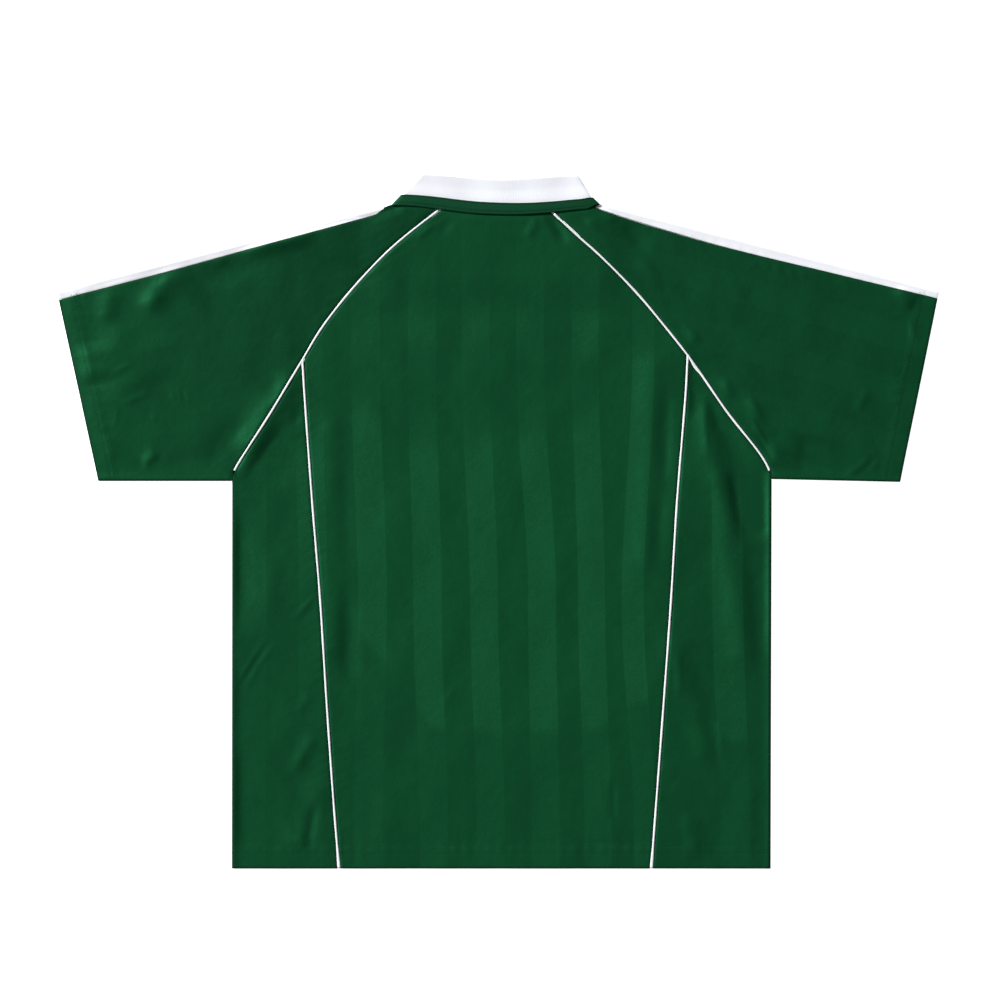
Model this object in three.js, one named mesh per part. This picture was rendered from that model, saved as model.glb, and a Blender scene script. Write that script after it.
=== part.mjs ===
// A short-sleeved football jersey laid out flat, back up, on a level surface.
//
// Millimetres. X runs across the jersey, +Y from the hem to the collar, +Z up from the surface.
// The origin is the middle of the footprint, on the surface. Seen from above, the wearer's left
// sleeve is on the left (-X). The front of the jersey lies on the surface, the back lies on it,
// and the cloth turns over in a soft roll along the sides, under the arms and over the shoulders.
import * as THREE from 'three';

// Cloth
const CLOTH = 1.2; // wall of the body and sleeves
const COLLAR_CLOTH = 1.4; // wall of the knitted collar
const FOLD_RADIUS = 2.0; // outer radius of the roll where the cloth turns over
const BACK_TOP = 3.0; // height of the back's outer face where it lies flat
const RIM_REACH = 24; // how far in from a roll the back takes to settle
const FOLD_FADE = 20; // how far in from a roll a fold takes to rise fully
const SEAM_GAP = 0.5; // between two pieces at a seam
const NECK_GAP = 0.8; // between the neckband and what is sewn to it
const BAND_GAP = 0.8; // between a sleeve and the band over it
const PIPING_WIDTH = 2.2;
const PIPING_PROUD = 0.5; // how far the piping stands above the cloth
const PIPING_DEPTH = 0.9; // how far it reaches down into the seam
const PIPING_HEM_GAP = 0.3; // from its lower end to the hem's edge
const PIPING_CREST = 0.5; // width of its crest, as a share of its whole width
const PIPED_HALF = PIPING_WIDTH / 2 + 0.5; // from a piped seam's line to the cloth's edge
const PLAIN_HALF = SEAM_GAP / 2; // from a plain seam's line to the cloth's edge

// Outline. Each side's x is measured outward from the middle.
const HEM_Y = -363.8;
const SIDES = {
  left: {
    sign: -1,
    hemX: 279.3,
    underarm: { x: 279, y: 42.5 },
    cuffLow: { x: 419, y: 42.5 },
    cuffHigh: { x: 462.5, y: 241.5 },
    neckCorner: { x: 112.4, y: 331.8 },
    collarCorner: { x: 81.9, y: 363.8 },
  },
  right: {
    sign: 1,
    hemX: 286.1,
    underarm: { x: 287.2, y: 44.5 },
    cuffLow: { x: 421.6, y: 41.5 },
    cuffHigh: { x: 462.5, y: 241.5 },
    neckCorner: { x: 107.1, y: 332.9 },
    collarCorner: { x: 86.6, y: 362.3 },
  },
};

// Seam lines, from the neck down: how far out each one runs at a height y.
const RAGLAN = [
  { y: 340.0, left: 50.0, right: 40.5 },
  { y: 304.0, left: 91.4, right: 78.8 },
  { y: 278.8, left: 120.2, right: 107.1 },
  { y: 241.0, left: 155.4, right: 144.6 },
  { y: 203.2, left: 184.8, right: 176.4 },
  { y: 168.5, left: 205.8, right: 203.5 },
  { y: 115.0, left: 237.7, right: 240.5 },
  { y: 77.2, left: 262.0, right: 270.4 },
  { y: 64.6, left: 270.2, right: 279.2 },
  { y: 53.0, left: 276.6, right: 285.0 },
  { y: 41.0, left: 279.6, right: 287.8 },
];
const SIDE_SEAM = [
  { y: 190.0, left: 206.0, right: 199.5 },
  { y: 140.0, left: 203.3, right: 197.4 },
  { y: 22.6, left: 194.9, right: 188.1 },
  { y: -82.4, left: 186.4, right: 181.7 },
  { y: -187.4, left: 179.8, right: 174.2 },
  { y: -292.4, left: 172.5, right: 166.4 },
  { y: -363.8, left: 166.7, right: 161.0 },
];
const JUNCTION_Y = { left: 168.0, right: 173.5 }; // where the side seam meets the raglan seam
const TIP_ABOVE_JUNCTION = 2; // the side panel's tip ends no higher than this above it
const SIDE_PIPING_BELOW_JUNCTION = 8; // and the side piping ends this far below it
const RAGLAN_PIPING_END_Y = 55; // the raglan piping ends just above the underarm
const CHANNEL_END = { y: 47, ramp: 8 }; // below y the raglan seam is plain, above the ramp piped
const RAGLAN_LOW_Y = 38; // below the raglan seam's lowest point
const NECK_HIGH_Y = 345; // above the neckline's highest point

// Neck. A ring of neckband and collar turned up flat; t runs from its base to the collar's edge.
const BACK_NECK_SAG = 10; // how far the base dips at the middle of the back
const BACK_COLLAR_SAG = 5; // and the collar's edge
const FRONT_NECK_SAG = 60; // the front neckline is cut lower
const FRONT_COLLAR_SAG = 54;
const BAND_TOP = 0.34; // t where the neckband ends
const COLLAR_BASE = 0.12; // t where the collar starts, inside the neckband
const BAND_RADIUS = 3.2;
const COLLAR_RADIUS = 1.7;
const COLLAR_DROP = { by: 1.5, from: 0.4, over: 0.35 }; // its free edge settles on the surface
const COLLAR_OPENING = 3; // between the collar's two ends at the middle of the front
// The back lies higher over the neck's layers, above fromY and within halfWidth of the middle.
const NECK_RISE = { by: 2.2, fromY: 215, halfWidth: 150, ramp: 45, inset: 12 };

// White band over the arm: how far it reaches from the roll on the back and on the front.
const ARM_BAND = [
  { u: 0, left: 4.0, right: 4.5, front: 22 },
  { u: 0.12, left: 6.0, right: 7.5, front: 22 },
  { u: 0.4, left: 7.2, right: 11.0, front: 22.5 },
  { u: 0.7, left: 9.0, right: 9.4, front: 23 },
  { u: 1, left: 9.2, right: 7.6, front: 24 },
];

// The largest folds of the back, as soft ridges from one point to another.
const FOLDS = [
  { name: 'left underarm', x0: -222, y0: 141, x1: -260, y1: 82, width: 14, height: 3.0 },
  { name: 'left side seam', x0: -175, y0: 96, x1: -172, y1: -130, width: 13, height: 1.4 },
  { name: 'left hem', x0: -212, y0: -332, x1: -190, y1: -284, width: 13, height: 1.1 },
  { name: 'left sleeve top', x0: -343, y0: 262, x1: -361, y1: 232, width: 12, height: 2.2 },
  { name: 'left cuff', x0: -399, y0: 188, x1: -391, y1: 148, width: 20, height: 2.4 },
  { name: 'right side seam', x0: 161, y0: 158, x1: 155, y1: -40, width: 13, height: 1.3 },
  { name: 'right underarm', x0: 212, y0: 126, x1: 228, y1: 52, width: 12, height: 2.4 },
  { name: 'right waist', x0: 231, y0: 36, x1: 256, y1: -136, width: 14, height: 2.0 },
  { name: 'right lower side', x0: 186, y0: -136, x1: 219, y1: -236, width: 14, height: 1.3 },
  { name: 'right sleeve', x0: 330, y0: 196, x1: 420, y1: 168, width: 22, height: 1.4 },
];

const SIDE_SEAM_TOP_Y = 150; // below this only the side seam bounds the middle panels
const CORNER_SHARE = 0.03; // a neckline station nearer a panel's corner than this is skipped
const STATION_CLEAR = 5; // the same for a sleeve, in millimetres
const FIRST_ROW = 12; // from a roll's edge to the first row of points past it
const INWARD = { less: 4, most: 60 }; // bounds of how far in from the neck's corner a line can end

// Steps of each grid
const STEPS = {
  roll: 3, // in each quarter turn of a roll
  back: { low: 17, high: 10, widest: 1 / 17 },
  front: { low: 9, high: 9, widest: 1 / 8 },
  sideAcross: 5,
  sideAlong: 20,
  sleeveAlong: 10,
  sleeveUp: { back: 10, front: 9 },
  frontBand: 2,
  bandAcross: 1,
  collarAcross: 4,
  neckHalf: 12,
  piping: 22,
};

const COLOURS = { green: 0x124a2a, white: 0xf0f2f8 };

const lerp = (a, b, f) => a + (b - a) * f;
const lerpPoint = (a, b, f) => ({ x: lerp(a.x, b.x, f), y: lerp(a.y, b.y, f) });
const clamp01 = (v) => Math.min(1, Math.max(0, v));
const smooth = (v) => clamp01(v) ** 2 * (3 - 2 * clamp01(v));
const range = (count) => Array.from({ length: count }, (_, i) => i);

// A table's column as a smooth function of its key, straight on past both ends.
function curveOf(table, key, column) {
  const rows = [...table].sort((a, b) => a[key] - b[key]);
  const slopeAt = (i) => {
    const lower = rows[Math.max(0, i - 1)];
    const upper = rows[Math.min(rows.length - 1, i + 1)];
    return (upper[column] - lower[column]) / (upper[key] - lower[key]);
  };
  return (v) => {
    const passed = rows.filter((row) => row[key] <= v).length;
    const i = Math.min(rows.length - 2, Math.max(0, passed - 1));
    const [a, b] = [rows[i], rows[i + 1]];
    const span = b[key] - a[key];
    const f = (v - a[key]) / span;
    if (f < 0) return a[column] + slopeAt(i) * (v - a[key]);
    if (f > 1) return b[column] + slopeAt(i + 1) * (v - b[key]);
    const [f2, f3] = [f * f, f * f * f];
    return (
      (2 * f3 - 3 * f2 + 1) * a[column] +
      (f3 - 2 * f2 + f) * span * slopeAt(i) +
      (3 * f2 - 2 * f3) * b[column] +
      (f3 - f2) * span * slopeAt(i + 1)
    );
  };
}

const raglan = { left: curveOf(RAGLAN, 'y', 'left'), right: curveOf(RAGLAN, 'y', 'right') };
const sideSeam = { left: curveOf(SIDE_SEAM, 'y', 'left'), right: curveOf(SIDE_SEAM, 'y', 'right') };
const armBand = {
  left: curveOf(ARM_BAND, 'u', 'left'),
  right: curveOf(ARM_BAND, 'u', 'right'),
  front: curveOf(ARM_BAND, 'u', 'front'),
};

// How fast a seam line moves outward as y rises.
const slopeOf = (line, y) => line(y + 0.5) - line(y - 0.5);

// x of a seam line at y, moved out sideways by `aside`.
const seamX = (line, y, aside) => line(y) + aside * Math.hypot(1, slopeOf(line, y));

const edgeX = (side, y) => {
  const { underarm, hemX } = SIDES[side];
  return lerp(hemX, underarm.x, (y - HEM_Y) / (underarm.y - HEM_Y));
};

// The zero of a rising function between two bounds.
function solve(f, low, high) {
  let [a, b] = [low, high];
  for (let halving = 0; halving < 40; halving += 1) {
    const middle = (a + b) / 2;
    if (f(middle) > 0) b = middle;
    else a = middle;
  }
  return (a + b) / 2;
}

// Neck ring, with x signed. f runs from the left corner (0) to the right one (1).
function neckPoint(f, t, layer) {
  const ends = ['left', 'right'].map((side) => {
    const { sign, neckCorner, collarCorner } = SIDES[side];
    const p = lerpPoint(neckCorner, collarCorner, t);
    return { x: sign * p.x, y: p.y };
  });
  const sag = layer === 'back'
    ? lerp(BACK_NECK_SAG, BACK_COLLAR_SAG, t)
    : lerp(FRONT_NECK_SAG, FRONT_COLLAR_SAG, t);
  const p = lerpPoint(ends[0], ends[1], f);
  return { x: p.x, y: p.y - sag * 0.5 * (1 - Math.cos(2 * Math.PI * f)) };
}

// The neckline runs straight from each of the ring's stations to the next.
const necklines = Object.fromEntries(['back', 'front'].map((layer) => [
  layer,
  range(STEPS.neckHalf + 1).map((i) => neckPoint(i / STEPS.neckHalf, 0, layer)),
]));

// y of the neckline at a signed x, on the back or the front.
function necklineY(x, layer) {
  const stations = necklines[layer];
  const next = stations.findIndex((station) => station.x > x);
  const i = next === -1 ? stations.length - 1 : Math.max(1, next);
  const [a, b] = [stations[i - 1], stations[i]];
  return lerp(a.y, b.y, (x - a.x) / (b.x - a.x));
}

function distanceToSegment(p, a, b) {
  const [dx, dy] = [b.x - a.x, b.y - a.y];
  const f = clamp01(((p.x - a.x) * dx + (p.y - a.y) * dy) / (dx * dx + dy * dy));
  return Math.hypot(p.x - a.x - f * dx, p.y - a.y - f * dy);
}

// How far a point, with x signed, lies from the nearest roll.
function rollDistance(x, y) {
  const side = x < 0 ? 'left' : 'right';
  const s = SIDES[side];
  const p = { x: Math.abs(x), y };
  return Math.min(
    distanceToSegment(p, { x: s.hemX, y: HEM_Y }, s.underarm),
    distanceToSegment(p, s.underarm, s.cuffLow),
    distanceToSegment(p, s.neckCorner, s.cuffHigh),
  );
}

// How much a fold lifts the back at a point: a rounded ridge that dies away past both ends.
function foldLift(fold, x, y) {
  const distance = distanceToSegment({ x, y }, { x: fold.x0, y: fold.y0 }, { x: fold.x1, y: fold.y1 });
  return fold.height * Math.exp(-((distance / fold.width) ** 2));
}

// The rise of the back over the layers of the neck.
function neckLift(x, y) {
  const { by, fromY, halfWidth, ramp } = NECK_RISE;
  return by * smooth((y - fromY) / ramp) * smooth((halfWidth - Math.abs(x)) / ramp);
}

// Height of the back's outer face.
function backHeight(x, y) {
  const inside = rollDistance(x, y) - FOLD_RADIUS;
  const rim = (2 * FOLD_RADIUS - BACK_TOP) * (1 - smooth(inside / RIM_REACH));
  const lift = FOLDS.reduce((sum, fold) => sum + foldLift(fold, x, y), 0);
  const neck = neckLift(x, y) * smooth(inside / NECK_RISE.inset);
  return BACK_TOP + rim + lift * smooth(inside / FOLD_FADE) + neck;
}

// A roll's quarter turns: how far in from the edge, and how high, for each step from the back's
// side (first) over the edge to the front's side (last).
const ROLL = range(2 * STEPS.roll + 1).map((i) => {
  const angle = (Math.PI / 2) * (1 - i / STEPS.roll);
  return { inset: FOLD_RADIUS * (1 - Math.cos(angle)), z: FOLD_RADIUS * (1 + Math.sin(angle)) };
});

// A wall of cloth from a grid of points on its outer face. `ring` closes the grid's first way
// round on itself. `upward` says whether the first row faces up.
function wall(rows, thickness, { ring = false, upward = true } = {}) {
  const [m, n] = [rows.length, rows[0].length];
  const within = (i, count) => Math.min(count - 1, Math.max(0, i));
  const at = (i, j) => rows[ring ? (i + m) % m : within(i, m)][within(j, n)];
  const alongI = new THREE.Vector3();
  const alongJ = new THREE.Vector3();
  const normals = rows.map((row, i) => row.map((_, j) => {
    alongI.subVectors(at(i + 1, j), at(i - 1, j));
    alongJ.subVectors(at(i, j + 1), at(i, j - 1));
    return new THREE.Vector3().crossVectors(alongI, alongJ).normalize();
  }));
  const flip = normals[0][Math.floor(n / 2)].z > 0 !== upward;
  const positions = [];
  rows.flat().forEach((p) => positions.push(p.x, p.y, p.z));
  rows.forEach((row, i) => row.forEach((p, j) => {
    const inner = p.clone().addScaledVector(normals[i][j], flip ? thickness : -thickness);
    positions.push(inner.x, inner.y, inner.z);
  }));
  const index = [];
  const outer = (i, j) => (i % m) * n + j;
  const inner = (i, j) => m * n + outer(i, j);
  const quad = (a, b, c, d) => {
    if (flip) index.push(a, c, b, a, d, c);
    else index.push(a, b, c, a, c, d);
  };
  const lastI = ring ? m : m - 1;
  range(lastI).forEach((i) => {
    range(n - 1).forEach((j) => {
      quad(outer(i, j), outer(i + 1, j), outer(i + 1, j + 1), outer(i, j + 1));
      quad(inner(i, j), inner(i, j + 1), inner(i + 1, j + 1), inner(i + 1, j));
    });
    quad(outer(i, 0), inner(i, 0), inner(i + 1, 0), outer(i + 1, 0));
    quad(outer(i, n - 1), outer(i + 1, n - 1), inner(i + 1, n - 1), inner(i, n - 1));
  });
  if (!ring) {
    range(n - 1).forEach((j) => {
      quad(outer(0, j), outer(0, j + 1), inner(0, j + 1), inner(0, j));
      quad(outer(m - 1, j), inner(m - 1, j), inner(m - 1, j + 1), outer(m - 1, j + 1));
    });
  }
  const geometry = new THREE.BufferGeometry();
  geometry.setAttribute('position', new THREE.Float32BufferAttribute(positions, 3));
  geometry.setIndex(index);
  geometry.computeVertexNormals();
  return geometry;
}

const point = (x, y, z) => new THREE.Vector3(x, y, z);
const onBack = (x, y) => point(x, y, backHeight(x, y));
const onFront = (x, y) => point(x, y, 0);

// From the raglan seam's line to the cloth's edge at y. The back's is piped, down to where the
// seam turns under the arm.
const raglanHalf = (y, layer) => (
  layer === 'back'
    ? lerp(PLAIN_HALF, PIPED_HALF, smooth((y - CHANNEL_END.y) / CHANNEL_END.ramp))
    : PLAIN_HALF
);

// The middle panel of the back or the front, between the raglan and side seams.
function middlePanel(layer) {
  const { low, high, widest } = STEPS[layer];
  const half = layer === 'back' ? PIPED_HALF : PLAIN_HALF;
  const boundX = (side, y) => {
    const atSide = seamX(sideSeam[side], y, -half);
    return y < SIDE_SEAM_TOP_Y ? atSide : Math.min(atSide, seamX(raglan[side], y, -half));
  };
  const xAt = (u, y) => lerp(-boundX('left', y), boundX('right', y), u);
  const place = layer === 'back' ? onBack : onFront;
  // A column ends at each station of the neckline, with others between them.
  const shares = necklines[layer].map(({ x, y }) => {
    const left = -boundX('left', y - NECK_GAP);
    return (x - left) / (boundX('right', y - NECK_GAP) - left);
  });
  const inPanel = shares.filter((u) => u > CORNER_SHARE && u < 1 - CORNER_SHARE);
  const fixed = [0, ...inPanel, 1];
  const across = fixed.slice(1).flatMap((u, i) => {
    const count = Math.ceil((u - fixed[i]) / widest);
    return range(count).map((k) => lerp(fixed[i], u, k / count));
  });
  const columns = [...across, 1].map((u) => {
    const junction = lerp(JUNCTION_Y.left, JUNCTION_Y.right, u);
    const top = solve((y) => y - necklineY(xAt(u, y), layer) + NECK_GAP, junction, NECK_HIGH_Y);
    const heights = [
      ...range(low).map((k) => lerp(HEM_Y, junction, k / low)),
      ...range(high + 1).map((k) => lerp(junction, top, k / high)),
    ];
    return heights.map((y) => place(xAt(u, y), y));
  });
  return wall(columns, CLOTH, { upward: layer === 'back' });
}

// A side panel: from the back's side seam out to the roll, round it, and in to the front's seam.
// Its two tips run up along the raglan seam.
function sidePanel(side) {
  const { sign } = SIDES[side];
  const column = (xAt, layer, place) => {
    const past = (y) => xAt(y) - seamX(raglan[side], y, -raglanHalf(y, layer));
    const top = solve(past, RAGLAN_LOW_Y, JUNCTION_Y[side] + TIP_ABOVE_JUNCTION);
    return range(STEPS.sideAlong + 1).map((k) => {
      const y = lerp(HEM_Y, top, k / STEPS.sideAlong);
      return place(xAt(y), y);
    });
  };
  const flat = (f, half, layer, place) => column(
    (y) => lerp(seamX(sideSeam[side], y, half), edgeX(side, y) - FIRST_ROW, f),
    layer,
    (x, y) => place(sign * x, y),
  );
  const roll = ROLL.map(({ inset, z }) => column(
    (y) => edgeX(side, y) - inset,
    'back',
    (x, y) => point(sign * x, y, z),
  ));
  const columns = [
    ...range(STEPS.sideAcross + 1).map((i) => flat(i / STEPS.sideAcross, PIPED_HALF, 'back', onBack)),
    ...roll,
    ...[1, 0.5, 0].map((f) => flat(f, PLAIN_HALF, 'front', onFront)),
  ];
  return wall(columns, CLOTH);
}

// The two ends of a line that runs `inset` in from the overarm's edge, from neck to cuff.
function overarmLine(side, inset, layer) {
  const { sign, neckCorner, cuffLow, cuffHigh } = SIDES[side];
  const along = { x: cuffHigh.x - neckCorner.x, y: cuffHigh.y - neckCorner.y };
  const length = Math.hypot(along.x, along.y);
  const depth = (p) => (along.y * (p.x - neckCorner.x) - along.x * (p.y - neckCorner.y)) / length;
  const onNeckline = (x) => ({ x, y: necklineY(sign * x, layer) - NECK_GAP });
  const inward = solve((v) => depth(onNeckline(neckCorner.x - v)) - inset, -INWARD.less, INWARD.most);
  const cuffShare = inset / depth(cuffLow);
  return { neck: onNeckline(neckCorner.x - inward), cuff: lerpPoint(cuffHigh, cuffLow, cuffShare) };
}

// The white band over the arm.
function armBandPiece(side) {
  const { sign } = SIDES[side];
  const reach = { back: armBand[side], front: armBand.front };
  const line = (layer, insetAt, place) => range(STEPS.sleeveAlong + 1).map((k) => {
    const u = k / STEPS.sleeveAlong;
    const { neck, cuff } = overarmLine(side, insetAt(u), layer);
    const p = lerpPoint(neck, cuff, u);
    return place(sign * p.x, p.y);
  });
  const seam = (layer, share, place) => line(
    layer,
    (u) => lerp(FOLD_RADIUS, reach[layer](u) - BAND_GAP / 2, share),
    place,
  );
  const rows = [
    seam('back', 1, onBack),
    ...ROLL.map(({ inset, z }, i) => line(
      i <= STEPS.roll ? 'back' : 'front',
      () => inset,
      (x, y) => point(x, y, z),
    )),
    ...range(STEPS.frontBand).map((i) => seam('front', (i + 1) / STEPS.frontBand, onFront)),
  ];
  return wall(rows, CLOTH);
}

// A green sleeve: from the arm band's seam down the back, round the underarm roll, and up the
// front to the band's other seam. Rows run from the body to the cuff.
function sleeve(side) {
  const { sign, underarm, cuffLow, cuffHigh } = SIDES[side];
  const bodyEdge = (y, layer) => ({ x: seamX(raglan[side], y, raglanHalf(y, layer)), y });
  const row = (inner, cuff, place) => range(STEPS.sleeveAlong + 1).map((k) => {
    const p = lerpPoint(inner, cuff, k / STEPS.sleeveAlong);
    return place(sign * p.x, p.y);
  });
  const cuffAt = (rise) => lerpPoint(cuffLow, cuffHigh, rise / (cuffHigh.y - cuffLow.y));
  const half = (layer, place) => {
    const reach = layer === 'back' ? armBand[side] : armBand.front;
    const seamRow = range(STEPS.sleeveAlong + 1).map((k) => {
      const u = k / STEPS.sleeveAlong;
      const { neck, cuff } = overarmLine(side, reach(u) + BAND_GAP / 2, layer);
      const p = lerpPoint(neck, cuff, u);
      return place(sign * p.x, p.y);
    });
    // The raglan edge meets the neckline on the back, and the arm band's seam on the front.
    const neckY = solve(
      (y) => y - necklineY(sign * bodyEdge(y, layer).x, layer) + NECK_GAP,
      JUNCTION_Y[side],
      NECK_HIGH_Y,
    );
    const raglanX = bodyEdge(neckY, layer).x;
    const [seamNeck, seamCuff] = [seamRow[0], seamRow.at(-1)].map(({ x, y }) => ({ x: sign * x, y }));
    const lowCuff = cuffAt(FIRST_ROW);
    // Inner ends up the raglan seam, then at each of the neckline's stations up to the band.
    const secondY = underarm.y + 2 * FIRST_ROW;
    const inner = [
      bodyEdge(underarm.y + FIRST_ROW, layer),
      ...range(STEPS.sleeveUp[layer] + 1).map((i) => (
        bodyEdge(lerp(secondY, neckY, i / STEPS.sleeveUp[layer]), layer)
      )),
    ];
    if (layer === 'front') inner.pop();
    const stations = necklines[layer]
      .map(({ x, y }) => ({ x: sign * x, y: y - NECK_GAP }))
      .filter(({ x }) => x > raglanX + STATION_CLEAR && x < seamNeck.x - STATION_CLEAR)
      .sort((a, b) => a.x - b.x);
    inner.push(...stations);
    const along = [0];
    [...inner.slice(1), seamNeck].forEach((p, i) => {
      along.push(along[i] + Math.hypot(p.x - inner[i].x, p.y - inner[i].y));
    });
    const rows = inner.map((p, i) => (
      row(p, lerpPoint(lowCuff, seamCuff, along[i] / along.at(-1)), place)
    ));
    return [...rows, seamRow];
  };
  const roll = ROLL.map(({ inset, z }) => row(
    bodyEdge(underarm.y + inset, 'back'),
    cuffAt(inset),
    (x, y) => point(x, y, z),
  ));
  return wall([...half('back', onBack).reverse(), ...roll, ...half('front', onFront)], CLOTH);
}

// A piping cord lying in a seam of the back.
function piping(side, line, bottom, top) {
  const { sign } = SIDES[side];
  const half = PIPING_WIDTH / 2;
  const section = [
    { aside: -half, up: -PIPING_DEPTH },
    { aside: half, up: -PIPING_DEPTH },
    { aside: half, up: 0 },
    { aside: half * PIPING_CREST, up: PIPING_PROUD },
    { aside: -half * PIPING_CREST, up: PIPING_PROUD },
    { aside: -half, up: 0 },
  ];
  const n = section.length;
  const positions = [];
  range(STEPS.piping + 1).forEach((k) => {
    const y = lerp(bottom, top, k / STEPS.piping);
    const centre = line(y);
    const slope = slopeOf(line, y);
    const turn = Math.hypot(1, slope);
    const height = backHeight(sign * centre, y);
    section.forEach(({ aside, up }) => {
      positions.push(sign * (centre + aside / turn), y - (aside * slope) / turn, height + up);
    });
  });
  const index = [];
  const face = (a, b, c) => (sign > 0 ? index.push(a, b, c) : index.push(a, c, b));
  range(STEPS.piping).forEach((k) => range(n).forEach((j) => {
    const [a, b] = [k * n + j, k * n + ((j + 1) % n)];
    face(a, b + n, b);
    face(a, a + n, b + n);
  }));
  const last = STEPS.piping * n;
  range(n - 2).forEach((j) => {
    face(0, j + 1, j + 2);
    face(last, last + j + 2, last + j + 1);
  });
  const geometry = new THREE.BufferGeometry();
  geometry.setAttribute('position', new THREE.Float32BufferAttribute(positions, 3));
  geometry.setIndex(index);
  geometry.computeVertexNormals();
  return geometry;
}

// The neckband or the collar: a ring folded flat at both sides. Stations run along the back from
// left to right, round the right fold, and along the front to the left.
function neckRing({ from, to, radius, thickness, steps, settles, opening }) {
  const middle = BAND_RADIUS; // height of the ring's middle
  const inset = BAND_RADIUS - radius; // the collar's folds lie inside the neckband's
  const leans = ['left', 'right'].map((side) => {
    const { neckCorner, collarCorner } = SIDES[side];
    return Math.atan2(collarCorner.y - neckCorner.y, neckCorner.x - collarCorner.x);
  });
  const { by, from: dropFrom, over } = COLLAR_DROP;
  const dropAt = (t) => (settles ? by * smooth((t - dropFrom) / over) : 0);
  // Points across the ring at a distance `out` from the fold line at one end.
  const station = (layer, end, out, z) => range(steps + 1).map((j) => {
    const t = lerp(from, to, j / steps);
    const [a, b] = [neckPoint(0, t, layer), neckPoint(1, t, layer)];
    const shift = (inset + out) / Math.sin(leans[end]) / (b.x - a.x);
    const p = neckPoint(end === 0 ? shift : 1 - shift, t, layer);
    return point(p.x, p.y, z - dropAt(t));
  });
  // Points across the ring at a share f of its way along.
  const across = (layer, f, z) => range(steps + 1).map((j) => {
    const t = lerp(from, to, j / steps);
    const p = neckPoint(f, t, layer);
    return point(p.x, p.y, z - dropAt(t));
  });
  const fold = (end) => range(2 * STEPS.roll + 1).map((i) => {
    const angle = (Math.PI / 2) * (1 - i / STEPS.roll);
    const layer = i <= STEPS.roll ? 'back' : 'front';
    return station(layer, end, radius * (1 - Math.cos(angle)), middle + radius * Math.sin(angle));
  });
  const shares = range(STEPS.neckHalf - 1).map((i) => (i + 1) / STEPS.neckHalf);
  const back = shares.map((f) => across('back', f, middle + radius));
  const front = shares.map((f) => across('front', f, middle - radius)).reverse();
  if (!opening) {
    return wall([...back, ...fold(1), ...front, ...fold(0).reverse()], thickness, { ring: true });
  }
  const cut = (sign) => range(steps + 1).map((j) => {
    const t = lerp(from, to, j / steps);
    const [a, b] = [neckPoint(0, t, 'front'), neckPoint(1, t, 'front')];
    const f = ((sign * opening) / 2 - a.x) / (b.x - a.x);
    const p = neckPoint(f, t, 'front');
    return point(p.x, p.y, middle - radius - dropAt(t));
  });
  const clear = (row) => Math.abs(row[0].x) > 2 * opening;
  const rightFront = [...front.filter((row) => row[0].x > 0 && clear(row)), cut(1)];
  const leftFront = [cut(-1), ...front.filter((row) => row[0].x < 0 && clear(row))];
  return wall([...leftFront, ...fold(0).reverse(), ...back, ...fold(1), ...rightFront], thickness, {
    upward: false,
  });
}

const cloth = (colour) => new THREE.MeshStandardMaterial({
  color: colour,
  roughness: 0.62,
  metalness: 0,
  side: THREE.DoubleSide,
});

const jersey = new THREE.Group();
function add(name, geometry, colour) {
  const mesh = new THREE.Mesh(geometry, cloth(colour));
  mesh.name = name;
  jersey.add(mesh);
}

add('back_panel', middlePanel('back'), COLOURS.green);
add('front_panel', middlePanel('front'), COLOURS.green);
Object.keys(SIDES).forEach((side) => {
  add(`side_panel_${side}`, sidePanel(side), COLOURS.green);
  add(`sleeve_${side}`, sleeve(side), COLOURS.green);
  add(`arm_band_${side}`, armBandPiece(side), COLOURS.white);
  const neckEnd = solve(
    (y) => y - necklineY(SIDES[side].sign * raglan[side](y), 'back') + NECK_GAP + PIPING_WIDTH / 2,
    JUNCTION_Y[side],
    NECK_HIGH_Y,
  );
  add(`raglan_piping_${side}`, piping(side, raglan[side], RAGLAN_PIPING_END_Y, neckEnd), COLOURS.white);
  const sideTop = JUNCTION_Y[side] - SIDE_PIPING_BELOW_JUNCTION;
  const sideEnd = HEM_Y + PIPING_HEM_GAP;
  add(`side_piping_${side}`, piping(side, sideSeam[side], sideEnd, sideTop), COLOURS.white);
});
add('neckband', neckRing({
  from: 0,
  to: BAND_TOP,
  radius: BAND_RADIUS,
  thickness: CLOTH,
  steps: STEPS.bandAcross,
}), COLOURS.green);
add('collar', neckRing({
  from: COLLAR_BASE,
  to: 1,
  radius: COLLAR_RADIUS,
  thickness: COLLAR_CLOTH,
  steps: STEPS.collarAcross,
  settles: true,
  opening: COLLAR_OPENING,
}), COLOURS.white);

export default jersey;
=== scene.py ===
"""A football jersey laid out flat, back up, in fine cloth with its seams, piping and collar."""
import math
from collections import namedtuple

import bpy
import numpy as np
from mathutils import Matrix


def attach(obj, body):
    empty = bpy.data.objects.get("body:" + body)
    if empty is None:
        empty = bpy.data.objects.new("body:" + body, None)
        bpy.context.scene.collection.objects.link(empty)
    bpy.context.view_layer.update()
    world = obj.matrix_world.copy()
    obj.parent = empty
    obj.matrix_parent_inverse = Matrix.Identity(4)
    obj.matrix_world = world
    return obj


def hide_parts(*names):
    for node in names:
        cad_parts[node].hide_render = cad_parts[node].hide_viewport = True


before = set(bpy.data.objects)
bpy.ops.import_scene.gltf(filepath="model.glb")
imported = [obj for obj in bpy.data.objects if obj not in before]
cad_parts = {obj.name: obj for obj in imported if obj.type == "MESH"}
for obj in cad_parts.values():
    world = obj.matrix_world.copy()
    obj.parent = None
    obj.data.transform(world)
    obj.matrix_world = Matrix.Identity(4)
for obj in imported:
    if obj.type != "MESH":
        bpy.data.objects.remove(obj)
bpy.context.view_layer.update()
join = np.concatenate
TURN = 2 * math.pi


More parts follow.
